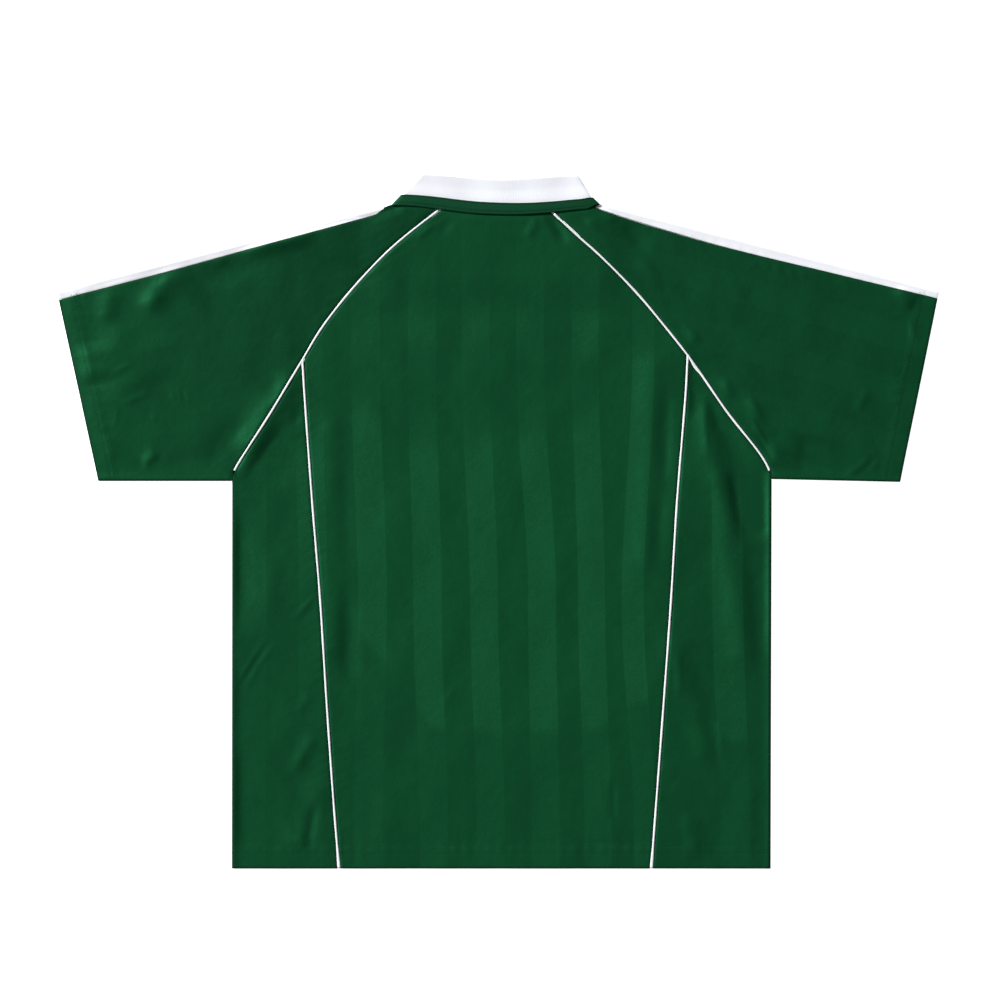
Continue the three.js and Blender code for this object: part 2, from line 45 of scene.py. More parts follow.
def rows_of(columns, rows):
    """A table's rows, with its columns named."""
    kind = namedtuple("Row", columns)
    return [kind(*row) for row in rows]


# Sizes are in millimetres until a mesh is made. They are those of the solids, but for the cloth's
# own thickness, which is the real one here.
MM = 0.001
CLOTH = 0.7
COLLAR_CLOTH = 1.2
FOLD_RADIUS = 2.0
BACK_TOP = 3.0
RIM_REACH = 22
BACK_LOWEST, BACK_LIMIT = 1.5, 0.3
FOLD_FADE = 20
FAR = 999  # where no edge is near
SEAM_GAP = 0.5
NECK_GAP = 0.8
NECK_TUCK = 1.8  # how far the back's cloth runs under the neckband
BAND_GAP = 0.8
PIPING_WIDTH = 2.2
PIPING_PROUD = 0.5
PIPING_DEPTH = 0.9
PIPING_DOME = 0.3
PIPED_HALF = PIPING_WIDTH / 2 + 0.5
PLAIN_HALF = SEAM_GAP / 2
HEM_Y = -363.8
Side = namedtuple("Side", "sign hem_x underarm cuff_low cuff_high neck collar")
SIDES = {
    "left": Side(-1, 279.3, (279, 42.5), (419, 42.5), (462.5, 241.5), (112.4, 331.8), (81.9, 363.8)),
    "right": Side(1, 286.1, (287.2, 44.5), (421.6, 41.5), (462.5, 241.5), (107.1, 332.9), (86.6, 362.3)),
}

# Seam lines, from the neck down: how far out each one runs at a height y.
RAGLAN = rows_of("y left right", [
    (340, 44, 40.5), (304, 91.4, 78.8), (278.8, 120.2, 107.1),
    (241, 155.4, 144.6), (203.2, 184.8, 176.4), (168.5, 205.8, 203.5),
    (115, 237.7, 240.5), (77.2, 262, 270.4), (64.6, 270.2, 279.2),
    (53, 276.6, 285), (41, 279.6, 287.8),
])
SIDE_SEAM = rows_of("y left right", [
    (190, 206, 199.5), (140, 203.3, 197.4), (22.6, 194.9, 188.1),
    (-82.4, 186.4, 181.7), (-187.4, 179.8, 174.2), (-292.4, 172.5, 166.4),
    (-363.8, 166.7, 161),
])
JUNCTION_Y = {"left": 168, "right": 173.5}
SIDE_SEAM_TOP_Y = 150
RAGLAN_PIPING_END_Y = 53.5
CHANNEL_END_Y, CHANNEL_RAMP = 47, 8
RAGLAN_LOW_Y, NECK_HIGH_Y = 38, 345

# Neck
NECK_SAG = {"back": 10, "front": 60}
COLLAR_SAG = {"back": 5, "front": 54}
NECK_LEAN = 4.6  # how much lower the neckband hangs in its right half at the back
NECK_HALF = 112
BAND_TOP = 0.34
COLLAR_BASE = 0.12
BAND_LINE = 0.24  # share of the neckband's height at which its edge is sewn
BAND_RADIUS = 3.2
COLLAR_RADIUS = 1.7
COLLAR_DROP, DROP_FROM, DROP_OVER = 1.5, 0.4, 0.35
COLLAR_OPENING = 3
NECK_RISE, RISE_FROM_Y, RISE_HALF_WIDTH, RISE_RAMP, RISE_INSET = 2.2, 215, 150, 45, 12

# White band over the arm. At the neck the sleeve's edge slants over it up to the top edge, in
# this share of the band's length, and the band dips under it.
SLANT = {"left": 0.12, "right": 0.014}
SLANT_BOW = {"left": 1.3, "right": 2}
SLANT_TOP, SLANT_DIP = -0.2, 0.9
ARM_BAND = rows_of("u left right front", [
    (0, 4, 4.5, 22),
    (0.12, 6, 7.5, 22),
    (0.4, 7.2, 11, 22.5),
    (0.7, 9, 9.4, 23),
    (1, 9.2, 7.6, 24),
])

# The largest folds, as in the solids: soft ridges from one point to another.
FOLDS = rows_of("x0 y0 x1 y1 width height", [
    (-222, 141, -260, 82, 14, 3),
    (-175, 96, -172, -130, 13, 1.4),
    (-212, -332, -190, -284, 13, 1.1),
    (-343, 262, -361, 232, 12, 2.2),
    (-399, 188, -391, 148, 20, 2.4),
    (161, 158, 155, -40, 13, 1.3),
    (212, 126, 228, 52, 12, 2.4),
    (231, 36, 256, -136, 14, 2),
    (186, -136, 219, -236, 14, 1.3),
    (330, 196, 420, 168, 22, 1.4),
])

# Creases, each from one point to another. `bow` is how far its middle strays to the left of that
# way, `width` its reach on the left and `right` on the right, and a trough's height is negative.
CREASE_END = 0.35  # share of its length over which a crease fades at each end
CREASES = rows_of("x0 y0 x1 y1 bow width right height", [
    # left sleeve
    (-342, 264, -354, 240, 1, 13, 5, 0.5),
    (-322, 264, -342, 232, 0, 24, 12, 1.1),
    (-356, 243, -368, 218, -1, 6, 10, 0.9),
    (-289, 279, -294, 266, 0, 5, 4, 0.8),
    (-272, 282, -188, 302, 1, 5, 9, 3),
    (-330, 248, -240, 270, 3, 13, 12, -1.2),
    (-320, 264, -112, 322, 0, 8, 38, 1.3),
    (-146, 326, -168, 262, 0, 44, 60, 1.6),
    (-409, 246, -412, 206, 1, 11, 8, 1.8),
    (-431, 190, -424, 142, 2, 24, 12, 2.9),
    (-376, 196, -364, 138, 0, 34, 18, 1.3),
    (-383, 166, -406, 155, 0, 2.4, 1.8, 0.55),
    (-364, 137, -397, 123, 1, 2.4, 1.8, 0.55),
    (-399, 123, -402, 98, 0, 1.6, 2, 0.3),
    (-345, 141, -338, 124, 1, 2.2, 2, 0.45),
    (-337, 143, -330, 124, -1, 2.2, 2, 0.45),
    (-329, 140, -324, 122, 1, 2, 2, 0.35),
    (-364, 112, -358, 104, 0, 2.2, 2, 0.45),
    (-373, 57, -354, 71, 2, 7, 4, 1.3),
    (-350, 66, -282, 60, 2, 10, 8, -0.9),
    (-262, 112, -302, 58, -3, 9, 11, -1.4),
    (-244, 110, -276, 44, 0, 8, 26, 0.5),
    (-251, 111, -284, 44, 0, 8, 15, -1.7),
    (-228, 152, -242, 122, 0, 8, 10, -1),
    (-412, 92, -404, 60, 2, 6, 7, 0.5),
    (-236, 196, -214, 172, 3, 6, 7, 0.5),
    (-376, 48.4, -288, 48, 0.5, 1.4, 1.2, -0.35),
    # right sleeve
    (112, 330, 124, 311, 1, 6, 7, 0.9),
    (128, 312, 160, 284, 2, 9, 9, -1.3),
    (145, 277, 170, 242, 3, 7, 8, 0.9),
    (199, 205, 207, 184, 1, 4, 5, 1.2),
    (206, 199, 213, 189, 0, 3, 4, 0.6),
    (235, 150, 245, 130, 1, 5, 6, 1.3),
    (248, 166, 288, 135, -1, 1.8, 1.8, 0.3),
    (261, 131, 276, 102, 2, 5, 8, 1.7),
    (266, 110, 287, 74, -1, 2.4, 4, 0.9),
    (273, 96, 291, 62, -2, 5, 3, -0.9),
    (268, 275, 271, 264, 0, 2.4, 2.4, 0.6),
    (280, 273, 284, 262, 0, 2.4, 2.4, 0.7),
    (291, 271, 296, 258, 1, 2.6, 2.6, 0.8),
    (305, 266, 311, 252, 0, 2.6, 2.4, 0.7),
    (318, 262, 322, 254, 0, 2.4, 2.4, 0.5),
    (353, 258, 373, 242, 1, 3, 4, 0.5),
    (414, 243, 434, 222, 2, 14, 4.5, 2),
    (434, 220, 439, 186, -2, 6, 4, 0.7),
    (356, 45, 392, 71, -4, 3, 2.6, 0.75),
    (362, 43, 399, 68, -4, 2, 2.2, -0.5),
    (374, 48, 402, 66, -2, 2.4, 2, 0.4),
    (376, 112, 392, 140, 2, 5, 4, 0.7),
    (294, 86, 289, 54, -2, 13, 8, 1.8),
    (324, 96, 318, 48, 2, 30, 9, -1.7),
    (420, 160, 410, 110, 3, 7, 8, 0.5),
    # right side
    (209, 182, 206.5, 98, 0, 18, 6, -2.9),
    (208, 100, 216, -44, 0, 12, 30, 1.2),
    (219, 138, 223, 60, -3, 3, 4, 0.6),
    (224, 128, 232, 92, 1, 6, 5, -1.4),
    (230, 124, 262, 44, 0, 12, 12, -2),
    (235, 64, 247, -34, 0, 8, 14, 1.6),
    (245, 66, 263, -28, 3, 30, 10, -2.6),
    (264, 44, 272, -24, 1, 26, 10, -1.2),
    (264, -10, 276, -150, 2, 40, 10, -1.4),
    (266, 62, 272, -2, -2, 7, 7, 0.5),
    (226, -16, 228, -110, 0, 1.6, 1.8, 0.3),
    (196, -128, 214, -182, 2, 8, 8, -0.5),
    (216, -188, 232, -262, 1, 6, 9, -0.9),
    (229, -200, 233, -256, 2, 2.2, 2.4, 0.5),
    (187, -130, 191, -190, 1, 3.4, 4, 0.7),
    (196, -300, 208, -358, 1, 14, 7, 1.3),
    (170, -252, 186, -272, 2, 6, 6, 0.5),
    (262, -250, 264, -356, 0, 15, 30, 0.9),
    # left side
    (-220, 106, -268, 36, 2, 34, 9, -2.6),
    (-206, 128, -218, 96, 2, 8, 6, -0.8),
    (-270, 28, -269, -120, 1, 10, 7, -0.8),
    (-270, -228, -269, -356, 1, 24, 6, -1.5),
    (-213, -334, -190, -280, 0, 11, 13, -0.7),
    (-276, -175, -241, -118, 1, 2, 2.2, 0.35),
    (-271, -176, -236, -120, 1, 2, 2, -0.25),
    (-266, -178, -232, -126, 2, 2, 2.2, 0.3),
    (-215, -101, -192, -77, -1, 2.2, 2.4, 0.5),
    (-210, -106, -190, -86, -1, 2.2, 2.4, -0.3),
    (-212, -205, -194, -178, 1, 5, 5, 0.5),
    (-213, -262, -190, -222, 1, 9, 6, 1.1),
    (-216, -270, -202, -240, 1, 6, 5, 0.5),
    (-190, -292, -199, -346, -2, 5, 4, -1.3),
    (-213, -330, -200, -342, 0, 6, 4, 0.6),
    (-236, -30, -244, -110, 2, 9, 8, 0.4),
    # back
    (-199, 110, -184, -134, 0, 20, 20, 0.5),
    (-177, 104, -173, -136, 0, 12, 12, -0.7),
    (-160, 100, -157, -60, -1, 7, 8, -0.5),
    (-159, -56, -156, -184, 0, 9, 8, -1.5),
    (180, 146, 176, 30, -2, 5, 8, -1.3),
    (172, 40, 166, -60, -1, 7, 8, -1),
    (84, -337, 152, -341, 1, 2.2, 2, -0.4),
    (119, -268, 122, -318, 0, 3.6, 4.2, -0.6),
    (116, -262, 118, -300, 0, 1.6, 1.8, 0.3),
    (50, 326, 72, 288, 2, 6, 6, -1.6),
    (42, 320, 27, 296, 1, 5, 4, 0.9),
    (-66, 312, -86, 294, -1, 4, 5, 0.7),
    (-50, 318, -62, 300, 1, 5, 5, -0.5),
    (88, 323, 90, 313, 0, 1.8, 1.8, -0.6),
    (94, 318, 104, 304, 0, 4, 4, 0.6),
    (-150, 210, -60, 182, -6, 18, 14, 0.5),
    (-40, 196, 70, 188, 5, 16, 14, 0.4),
    (92, 214, 150, 178, 4, 14, 12, 0.5),
    (-120, 166, -20, 150, 6, 16, 14, -0.35),
    (30, 150, 130, 158, -5, 14, 16, -0.35),
    (-44, -170, -60, -196, 1, 4, 4, 0.3),
    (-96, -300, -78, -336, 2, 6, 6, 0.3),
])

# Hems, measured from the cloth's edge
HEM_LINES = (14.7, 21.5)
CUFF_LINES = (13.7, 19.4)
HEM_PLY = 0.22  # how much the turned-up cloth raises the hem
GROOVES = (0.10, 0.16)
CUFF_SWELL = {"left": 0.5, "right": -0.15}
STITCH_STEP, STITCH_LENGTH, STITCH_WIDTH, STITCH_LIFT = 3.1, 2.5, 0.45, 0.1

# Tonal stripes of the body, woven into the cloth: the middle of each light one at three heights, half its
# width, and the stretch in which it shows strongly, with its strength. How brightly a stripe shows from
# place to place is painted sheen.
CHEST_Y, WAIST_Y, LOW_Y = 169.6, -82.4, -334.4
STRIPES = rows_of("chest waist low half strong_from strong_to strength", [
    (-257, -257, -258, 14, 40, -120, 0.5),
    (-199, -194, -199, 15, 90, -60, 0.5),
    (-139.1, -131.8, -136.5, 15.2, 128, -130, 0.92),
    (-79.8, -74, -67.2, 14.8, 86, -214, 0.92),
    (-23.6, -14.7, -7.4, 14.6, 96, -219, 1),
    (33.6, 46.2, 49.9, 14.6, 96, -219, 1),
    (91.4, 98.2, 105, 14, 112, -219, 1.1),
    (152.3, 141.2, 154.4, 11.5, 200, -187, 1),
    (238, 241, 249, 16, 24, -229, 0.8),
])
# How strongly the stripes' painted sheen shows elsewhere, from the neck to the hem
STRIPE_SHEEN = rows_of("y strength", [
    (330, 0.12), (285, 0.16), (232, 0.30), (205, 0.60), (182, 0.56),
    (160, 0.24), (110, 0.30), (-230, 0.38), (-364, 0.42),
])
# Painted shade: how far each part is darkened, from the brighter middle of the back to the deep green
PART_SHADE = {"back": 0.36, "side": 0.5, "left sleeve": 0.62, "right sleeve": 0.8}
# and the painted shade of the left sleeve's upper half, darker towards the neck, at distances from the
# middle
LEFT_SLEEVE_SHADE = rows_of("x tone", [
    (100, 1.8), (145, 1.6), (187, 1.3), (229, 1.15), (275, 1.15),
    (313, 1.05), (345, 0.7), (380, 0.2), (440, 0),
])
SLEEVE_STRIPE_PERIOD = 56
SLEEVE_STRIPE_SLOPE = 0.30


def lerp(a, b, f):
    return a + (b - a) * f


def smooth(v):
    v = np.clip(v, 0, 1)
    return v * v * (3 - 2 * v)


def curve_of(rows, key, column):
    """A table's column as a smooth function of its key, straight on past both ends."""
    rows = sorted(rows, key=lambda row: getattr(row, key))
    at, value = (np.array([getattr(row, name) for row in rows], float) for name in (key, column))
    last = len(at) - 1
    before, after = np.maximum(np.arange(-1, last), 0), np.minimum(np.arange(1, last + 2), last)
    slope = (value[after] - value[before]) / (at[after] - at[before])

    def curve(v):
        v = np.asarray(v, float)
        i = np.clip(np.searchsorted(at, v, side="right") - 1, 0, last - 1)
        span = at[i + 1] - at[i]
        raw = (v - at[i]) / span
        f = np.clip(raw, 0, 1)
        start, end = span * slope[i], span * slope[i + 1]
        inside = lerp(value[i], value[i + 1], smooth(f)) + f * (1 - f) * ((1 - f) * start - f * end)
        return inside + np.minimum(raw, 0) * start + np.maximum(raw - 1, 0) * end

    return curve


raglan = {side: curve_of(RAGLAN, "y", side) for side in SIDES}
side_seam = {side: curve_of(SIDE_SEAM, "y", side) for side in SIDES}
band_reach = {column: curve_of(ARM_BAND, "u", column) for column in ("left", "right", "front")}


def slope_of(line, y):
    return line(y + 0.5) - line(y - 0.5)


def seam_x(line, y, aside):
    """x of a seam line at y, moved out sideways by `aside`."""
    return line(y) + aside * np.hypot(1, slope_of(line, y))


def edge_x(side, y):
    s = SIDES[side]
    return lerp(s.hem_x, s.underarm[0], (y - HEM_Y) / (s.underarm[1] - HEM_Y))


def solve(f, low, high):
    """The zero of a rising function between two bounds, for arrays of them at once."""
    for _ in range(40):
        middle = (low + high) / 2
        above = f(middle) > 0
        low, high = np.where(above, low, middle), np.where(above, middle, high)
    return (low + high) / 2


def by_side(x, function):
    return np.where(x < 0, function("left"), function("right"))


def neck_lean(f, t, layer):
    """How much lower the neckband hangs in its right half at the back."""
    corner = smooth((f - 0.93) / 0.06)
    lean = NECK_LEAN * smooth((f - 0.44) / 0.42) * (1 - smooth((t - BAND_TOP) / (0.9 - BAND_TOP)))
    lean = lean * (1 - corner * np.clip(1 - 0.7 * t / BAND_TOP, 0.3, 1))
    return lean * (1 if layer == "back" else corner)


def neck_point(f, t, layer):
    """x and y on the neck's ring. f runs from the left corner to the right one, t up the collar."""
    (ax, ay), (bx, by) = (
        (side.sign * lerp(side.neck[0], side.collar[0], t), lerp(side.neck[1], side.collar[1], t))
        for side in SIDES.values()
    )
    sag = lerp(NECK_SAG[layer], COLLAR_SAG[layer], t)
    sag = sag * 0.5 * (1 - np.cos(TURN * f))
    return lerp(ax, bx, f), lerp(ay, by, f) - sag - neck_lean(f, t, layer)


def neckline_y(x, layer):
    (ax, _), (bx, _) = neck_point(0, 0, layer), neck_point(1, 0, layer)
    return neck_point((x - ax) / (bx - ax), 0, layer)[1]


def neck_edge_y(x, layer):
    """Where the panels' cloth ends at the neck: the back's lies a little way under the neckband."""
    corner = by_side(x, lambda side: SIDES[side].neck[0])
    tuck = NECK_TUCK * smooth((corner - 1 - np.abs(x)) / 14)
    return neckline_y(x, layer) + (tuck if layer == "back" else -NECK_GAP)


def beside(a, b, x, y):
    """A point's distance from the line from a to b, on its right, and its share of the way along."""
    dx, dy = b[0] - a[0], b[1] - a[1]
    px, py = x - a[0], y - a[1]
    length = math.hypot(dx, dy)
    return (dy * px - dx * py) / length, (dx * px + dy * py) / length**2


def segment_distance(x, y, a, b):
    f = np.clip(beside(a, b, x, y)[1], 0, 1)
    return np.hypot(x - lerp(a[0], b[0], f), y - lerp(a[1], b[1], f))


def roll_distance(x, y):
    """How far a point lies from the nearest edge where the cloth turns over."""

    def on(side):
        s = SIDES[side]
        ends = ((s.hem_x, HEM_Y), s.underarm), (s.underarm, s.cuff_low), (s.neck, s.cuff_high)
        return np.minimum.reduce([segment_distance(np.abs(x), y, a, b) for a, b in ends])

    return by_side(x, on)


def overarm(side, x, y):
    """How far a point lies below the sleeve's top edge, and its share of the way to the cuff."""
    return beside(SIDES[side].neck, SIDES[side].cuff_high, np.abs(x), y)


def cuff_distance(x, y):
    """How far a point of a sleeve lies from the cuff's edge."""
    return by_side(x, lambda side: -beside(SIDES[side].cuff_low, SIDES[side].cuff_high, np.abs(x), y)[0])


def solid_height(x, y):
    """Height of the back's outer face in the solids."""
    inside = roll_distance(x, y) - FOLD_RADIUS
    rim = (2 * FOLD_RADIUS - BACK_TOP) * (1 - np.clip(inside / RIM_REACH, 0, 1)) ** 5
    lift = 0
    for fold in FOLDS:
        off = segment_distance(x, y, (fold.x0, fold.y0), (fold.x1, fold.y1))
        lift = lift + fold.height * np.exp(-((off / fold.width) ** 2))
    up, across = (y - RISE_FROM_Y) / RISE_RAMP, (RISE_HALF_WIDTH - np.abs(x)) / RISE_RAMP
    neck = NECK_RISE * smooth(up) * smooth(across)
    return BACK_TOP + rim + lift * smooth(inside / FOLD_FADE) + neck * smooth(inside / RISE_INSET)


def creases(x, y):
    """How far all the creases together raise or lower the back."""
    total = 0
    for c in CREASES:
        aside, f = beside((c.x0, c.y0), (c.x1, c.y1), x, y)
        off = -aside - c.bow * 4 * f * (1 - f)
        reach = np.where(off > 0, c.width, c.right)
        fade = smooth(f / CREASE_END) * smooth((1 - f) / CREASE_END)
        total = total + c.height * fade * np.exp(-((off / reach) ** 2))
    return total


RIPPLE_SIZES = ((96, 0.2), (71, 0.16), (52, 0.11), (41, 0.08), (33, 0.05), (27, 0.04), (21, 0.03))
Wave = namedtuple("Wave", "length heading height phase")
chance = np.random.default_rng(7)
RIPPLES = [
    Wave(length, chance.uniform(0, math.pi), height, chance.uniform(0, TURN))
    for length, height in RIPPLE_SIZES
]


def ripples(x, y):
    """The cloth's slight unevenness all over."""
    bend = 9 * np.sin(x / 61 + y / 83) + 7 * np.sin(y / 47 - x / 90)
    total = 0
    for wave in RIPPLES:
        along = (x + bend) * math.cos(wave.heading) + (y + bend) * math.sin(wave.heading) * 0.7
        total = total + wave.height * np.sin(TURN * along / wave.length + wave.phase)
    return total


def seam_distance(x, y):
    """How far a point of the back lies from the nearest piped seam's line."""

    def on(side):
        past = lambda line: np.abs(np.abs(x) - line(y)) / np.hypot(1, slope_of(line, y))
        past_side = np.where(y < JUNCTION_Y[side] - 2, past(side_seam[side]), FAR)
        return np.minimum(past_side, np.where(y > RAGLAN_LOW_Y, past(raglan[side]), FAR))

    return by_side(x, on)


def pucker(distance, along, length, height, reach):
    """Small gathers across a line of sewing that die away on both sides of it."""
    uneven = 0.55 + 0.45 * np.sin(along / 37.0) * np.sin(along / 13.7 + 1.3)
    wave = np.sin(TURN * along / length + 1.7 * np.sin(along / 29.0))
    return height * uneven * wave * np.exp(-distance / reach)


def dip(distance, depth, reach):
    """How the cloth turns down into a seam."""
    return -depth * (1 - smooth(distance / reach))


def hem_ply(distance, lines, swell=0):
    """The step of a turned-up hem, which swells a little, with a groove along each line of stitches."""
    raised = HEM_PLY * (1 - smooth((distance - lines[1] - 0.2) / 2.6))
    swollen = swell * smooth(distance / lines[0]) * (1 - smooth((distance - lines[0]) / 42))
    grooves = sum(depth * np.exp(-(((distance - line) / 0.8) ** 2)) for line, depth in zip(lines, GROOVES))
    return raised + swollen - grooves


def on_body(x, y):
    """Whether a point belongs to the body rather than to a sleeve."""
    inside = by_side(x, lambda side: (np.abs(x) < raglan[side](y)).astype(float))
    return (inside > 0) | (y < 42)


def back_height(x, y):
    """Height of the back's outer face, with its creases, seams and hems."""
    inside = roll_distance(x, y) - FOLD_RADIUS
    settle = smooth(inside / 6)
    seam = np.maximum(seam_distance(x, y) - PIPING_WIDTH / 2, 0)
    both = zip(overarm("left", x, y), overarm("right", x, y))
    below_band, share = (np.where(x < 0, left, right) for left, right in both)
    reach = by_side(x, lambda side: band_reach[side](np.clip(share, 0, 1)))
    band_seam = np.abs(below_band - reach)
    neck_seam = np.abs(y - neckline_y(x, "back"))
    body = on_body(x, y)
    hem = np.where(y < 0, y - HEM_Y, FAR)
    cuff = np.where(body, FAR, cuff_distance(x, y))
    height = (
        solid_height(x, y)
        + settle * (creases(x, y) + ripples(x, y))
        + dip(seam, 0.55, 2.6)
        + pucker(seam, y + 0.6 * np.abs(x), 11.5, 0.22, 7)
        + np.where(body, 0, dip(np.maximum(band_seam - BAND_GAP / 2, 0), 0.2, 1.6))
        + np.where(body, 0, settle * pucker(band_seam, x, 12.5, 0.2, 9))
        + np.where(np.abs(x) < NECK_HALF, dip(np.maximum(neck_seam - NECK_GAP, 0), 0.5, 3.0), 0)
        + hem_ply(hem, HEM_LINES)
        + settle * pucker(np.abs(hem - HEM_LINES[1]), x, 13, 0.2, 8)
        + hem_ply(cuff, CUFF_LINES, by_side(x, CUFF_SWELL.get))
        + settle * pucker(np.abs(cuff - CUFF_LINES[1]), y, 12, 0.18, 7)
    )
    return BACK_LOWEST + BACK_LIMIT * np.logaddexp(0, (height - BACK_LOWEST) / BACK_LIMIT)


def body_marks(x, y):
    """How far inside a light stripe each point lies, how strongly the stripe shows there, which is painted
    sheen, and the painted shade of each part.
    """
    up, down = smooth((y - WAIST_Y) / (CHEST_Y - WAIST_Y)), smooth((WAIST_Y - y) / (WAIST_Y - LOW_Y))
    middles = np.array([
        stripe.waist + (stripe.chest - stripe.waist) * up + (stripe.low - stripe.waist) * down
        for stripe in STRIPES
    ])
    column = lambda name: np.array([getattr(stripe, name) for stripe in STRIPES])
    inside = (column("half")[:, None, None] - np.abs(x - middles)).max(0)
    across = np.arange(len(STRIPES))
    place = sum(np.clip((x - a) / (b - a), 0, 1) for a, b in zip(middles, middles[1:]))
    top, end, strength = (
        np.interp(place, across, column(name)) for name in ("strong_from", "strong_to", "strength")
    )
    fade = curve_of(STRIPE_SHEEN, "y", "strength")(y)
    strong = smooth((top + 14 - y) / 44) * smooth((y - end + 8) / 16)
    aside = by_side(x, lambda side: smooth((np.abs(x) - side_seam[side](y)) / 4 + 0.5))
    # Painted shade: the back is darker outside the stretch where the stripes' sheen is strong, and the side
    # panels are darker still.
    tone = lerp(PART_SHADE["back"] * (1 - strong), PART_SHADE["side"], aside)
    return {"stripe": inside, "gain": strength * lerp(fade, 1, strong), "tone": tone}


def sleeve_marks(x, y):
    """The sleeve's faint stripes, which run down from the neck to the cuff, and each sleeve's painted
    shade.
    """
    down = (-y - SLEEVE_STRIPE_SLOPE * np.abs(x)) / math.hypot(1, SLEEVE_STRIPE_SLOPE)
    step = (down + 335) % SLEEVE_STRIPE_PERIOD
    inside = SLEEVE_STRIPE_PERIOD / 4 - np.abs(step - SLEEVE_STRIPE_PERIOD / 2)
    left = x < 0
    # Painted shade: the right sleeve is darker all over, and the left one darker towards the neck.
    upper = np.maximum(smooth((y - 120) / 70), smooth((np.abs(x) - 345) / 40))
    left_tone = lerp(PART_SHADE["left sleeve"], curve_of(LEFT_SLEEVE_SHADE, "x", "tone")(np.abs(x)), upper)
    tone = np.where(left, left_tone, PART_SHADE["right sleeve"])
    return {"stripe": inside, "gain": np.where(left, 0.06, 0.2), "tone": tone}


# Places of the first points in from a seam
EDGE = (0, 0.5, 1.1, 1.9, 3.0, 4.6)
# and from a hem
TURNED = (0, 3, 6, 9, 12, 13, 13.7, 14.4, 15.4, 17, 18.5, 19.4, 20.2, 21.3, 22.4, 24, 26.5)


def stations(count, near=(0,), far=(0,)):
    """Places along any length, as a fixed part and a share of the length for each."""
    share = np.linspace(0, 1, count)
    fixed = near[-1] - share * (near[-1] + far[-1])
    return (
        join([near[:-1], fixed, -np.array(far[:-1], float)[::-1]]),
        join([np.zeros(len(near) - 1), share, np.ones(len(far) - 1)]),
    )


def roll_points(steps):
    """Inset and height of each step of a roll, from the back over the edge to the front."""
    angle = np.linspace(math.pi / 2, -math.pi / 2, steps + 1)
    return FOLD_RADIUS * (1 - np.cos(angle)), FOLD_RADIUS * (1 + np.sin(angle))


def unit(v):
    return v / np.maximum(np.linalg.norm(v, axis=-1, keepdims=True), 1e-9)


def steps_of(grid):
    """From each row's neighbour before it to the one after it."""
    return join([grid[1:2] - grid[:1], grid[2:] - grid[:-2], grid[-1:] - grid[-2:-1]])


def normals_of(grid, ring):
    if ring:
        along = np.roll(grid, -1, 0) - np.roll(grid, 1, 0)
    else:
        along = steps_of(grid)
    across = steps_of(grid.swapaxes(0, 1)).swapaxes(0, 1)
    return unit(np.cross(along, across)), along, across


def rims_of(index, along, across, ring):
    """Each loop round a grid's open edge, in the order of its faces, and its outward direction."""
    if ring:
        return [(index[:, 0], -across[:, 0]), (index[::-1, -1], across[::-1, -1])]
    out = np.zeros_like(along)
    out[0] -= unit(along[0])
    out[-1] += unit(along[-1])
    out[:, 0] -= unit(across[:, 0])
    out[:, -1] += unit(across[:, -1])
    pick = lambda a: join([a[:, 0], a[-1, 1:], a[-2::-1, -1], a[0, -2:0:-1]])
    return [(pick(index), pick(out))]


def shell(name, grid, thickness, marks, upward=True, ring=False):
    """A closed wall of cloth with rounded edges, from a grid of points on its outer face."""
    if (normals_of(grid, ring)[0][0, grid.shape[1] // 2, 2] > 0) != upward:
        grid, marks = grid[:, ::-1], {key: value[:, ::-1] for key, value in marks.items()}
    normal, along, across = normals_of(grid, ring)
    m, n = grid.shape[:2]
    index = np.arange(m * n).reshape(m, n)
    last = m if ring else m - 1
    a, b = index[:last, :-1], np.roll(index, -1, 0)[:last, :-1]
    faces = [
        np.stack([a, b, b + 1, a + 1], -1).reshape(-1, 4),
        np.stack([a, a + 1, b + 1, b], -1).reshape(-1, 4) + m * n,
    ]
    outer, normal = grid.reshape(-1, 3), normal.reshape(-1, 3)
    points, source = [outer, outer - normal * thickness], [index.ravel(), index.ravel()]
    total = 2 * m * n
    for loop, out in rims_of(index, along, across, ring):
        up = normal[loop]
        out = unit(out - (out * up).sum(-1, keepdims=True) * up)
        middle = outer[loop] - up * thickness / 2
        row = loop
        for angle in (48, 0, -48):
            lean = math.radians(angle)
            points.append(middle + thickness / 2 * (out * math.cos(lean) + up * math.sin(lean)))
            source.append(loop)
            following = np.arange(total, total + len(loop))
            faces.append(np.stack([np.roll(row, -1), row, following, np.roll(following, -1)], -1))
            row = following
            total += len(loop)
        faces.append(np.stack([np.roll(row, -1), row, loop + m * n, np.roll(loop, -1) + m * n], -1))
    source = join(source)
    marks = {key: value.reshape(-1)[source] for key, value in marks.items()}
    return make_object(name, join(points), join(faces).tolist(), marks)


def add_object(name, data):
    obj = bpy.data.objects.new(name, data)
    bpy.context.collection.objects.link(obj)
    return obj


def make_object(name, points, faces, marks=None):
    mesh = bpy.data.meshes.new(name)
    mesh.from_pydata((np.asarray(points) * MM).tolist(), [], faces)
    for key, value in (marks or {}).items():
        layer = mesh.attributes.new(key, "FLOAT", "POINT")
        layer.data.foreach_set("value", np.asarray(value, np.float32))
    mesh.shade_smooth()
    return add_object(name, mesh)


def grain(x, y, **marks):
    """The cloth's own coordinates, in millimetres, beside its stripes."""
    return {"weft": x, "warp": y, **marks}


# Painted shade along folded edges and piped seams: on the right side it reaches further in.
SIDE_SHADE_SCALE = {"left": 1, "right": 0.66}  # smaller where the dark edge is wider


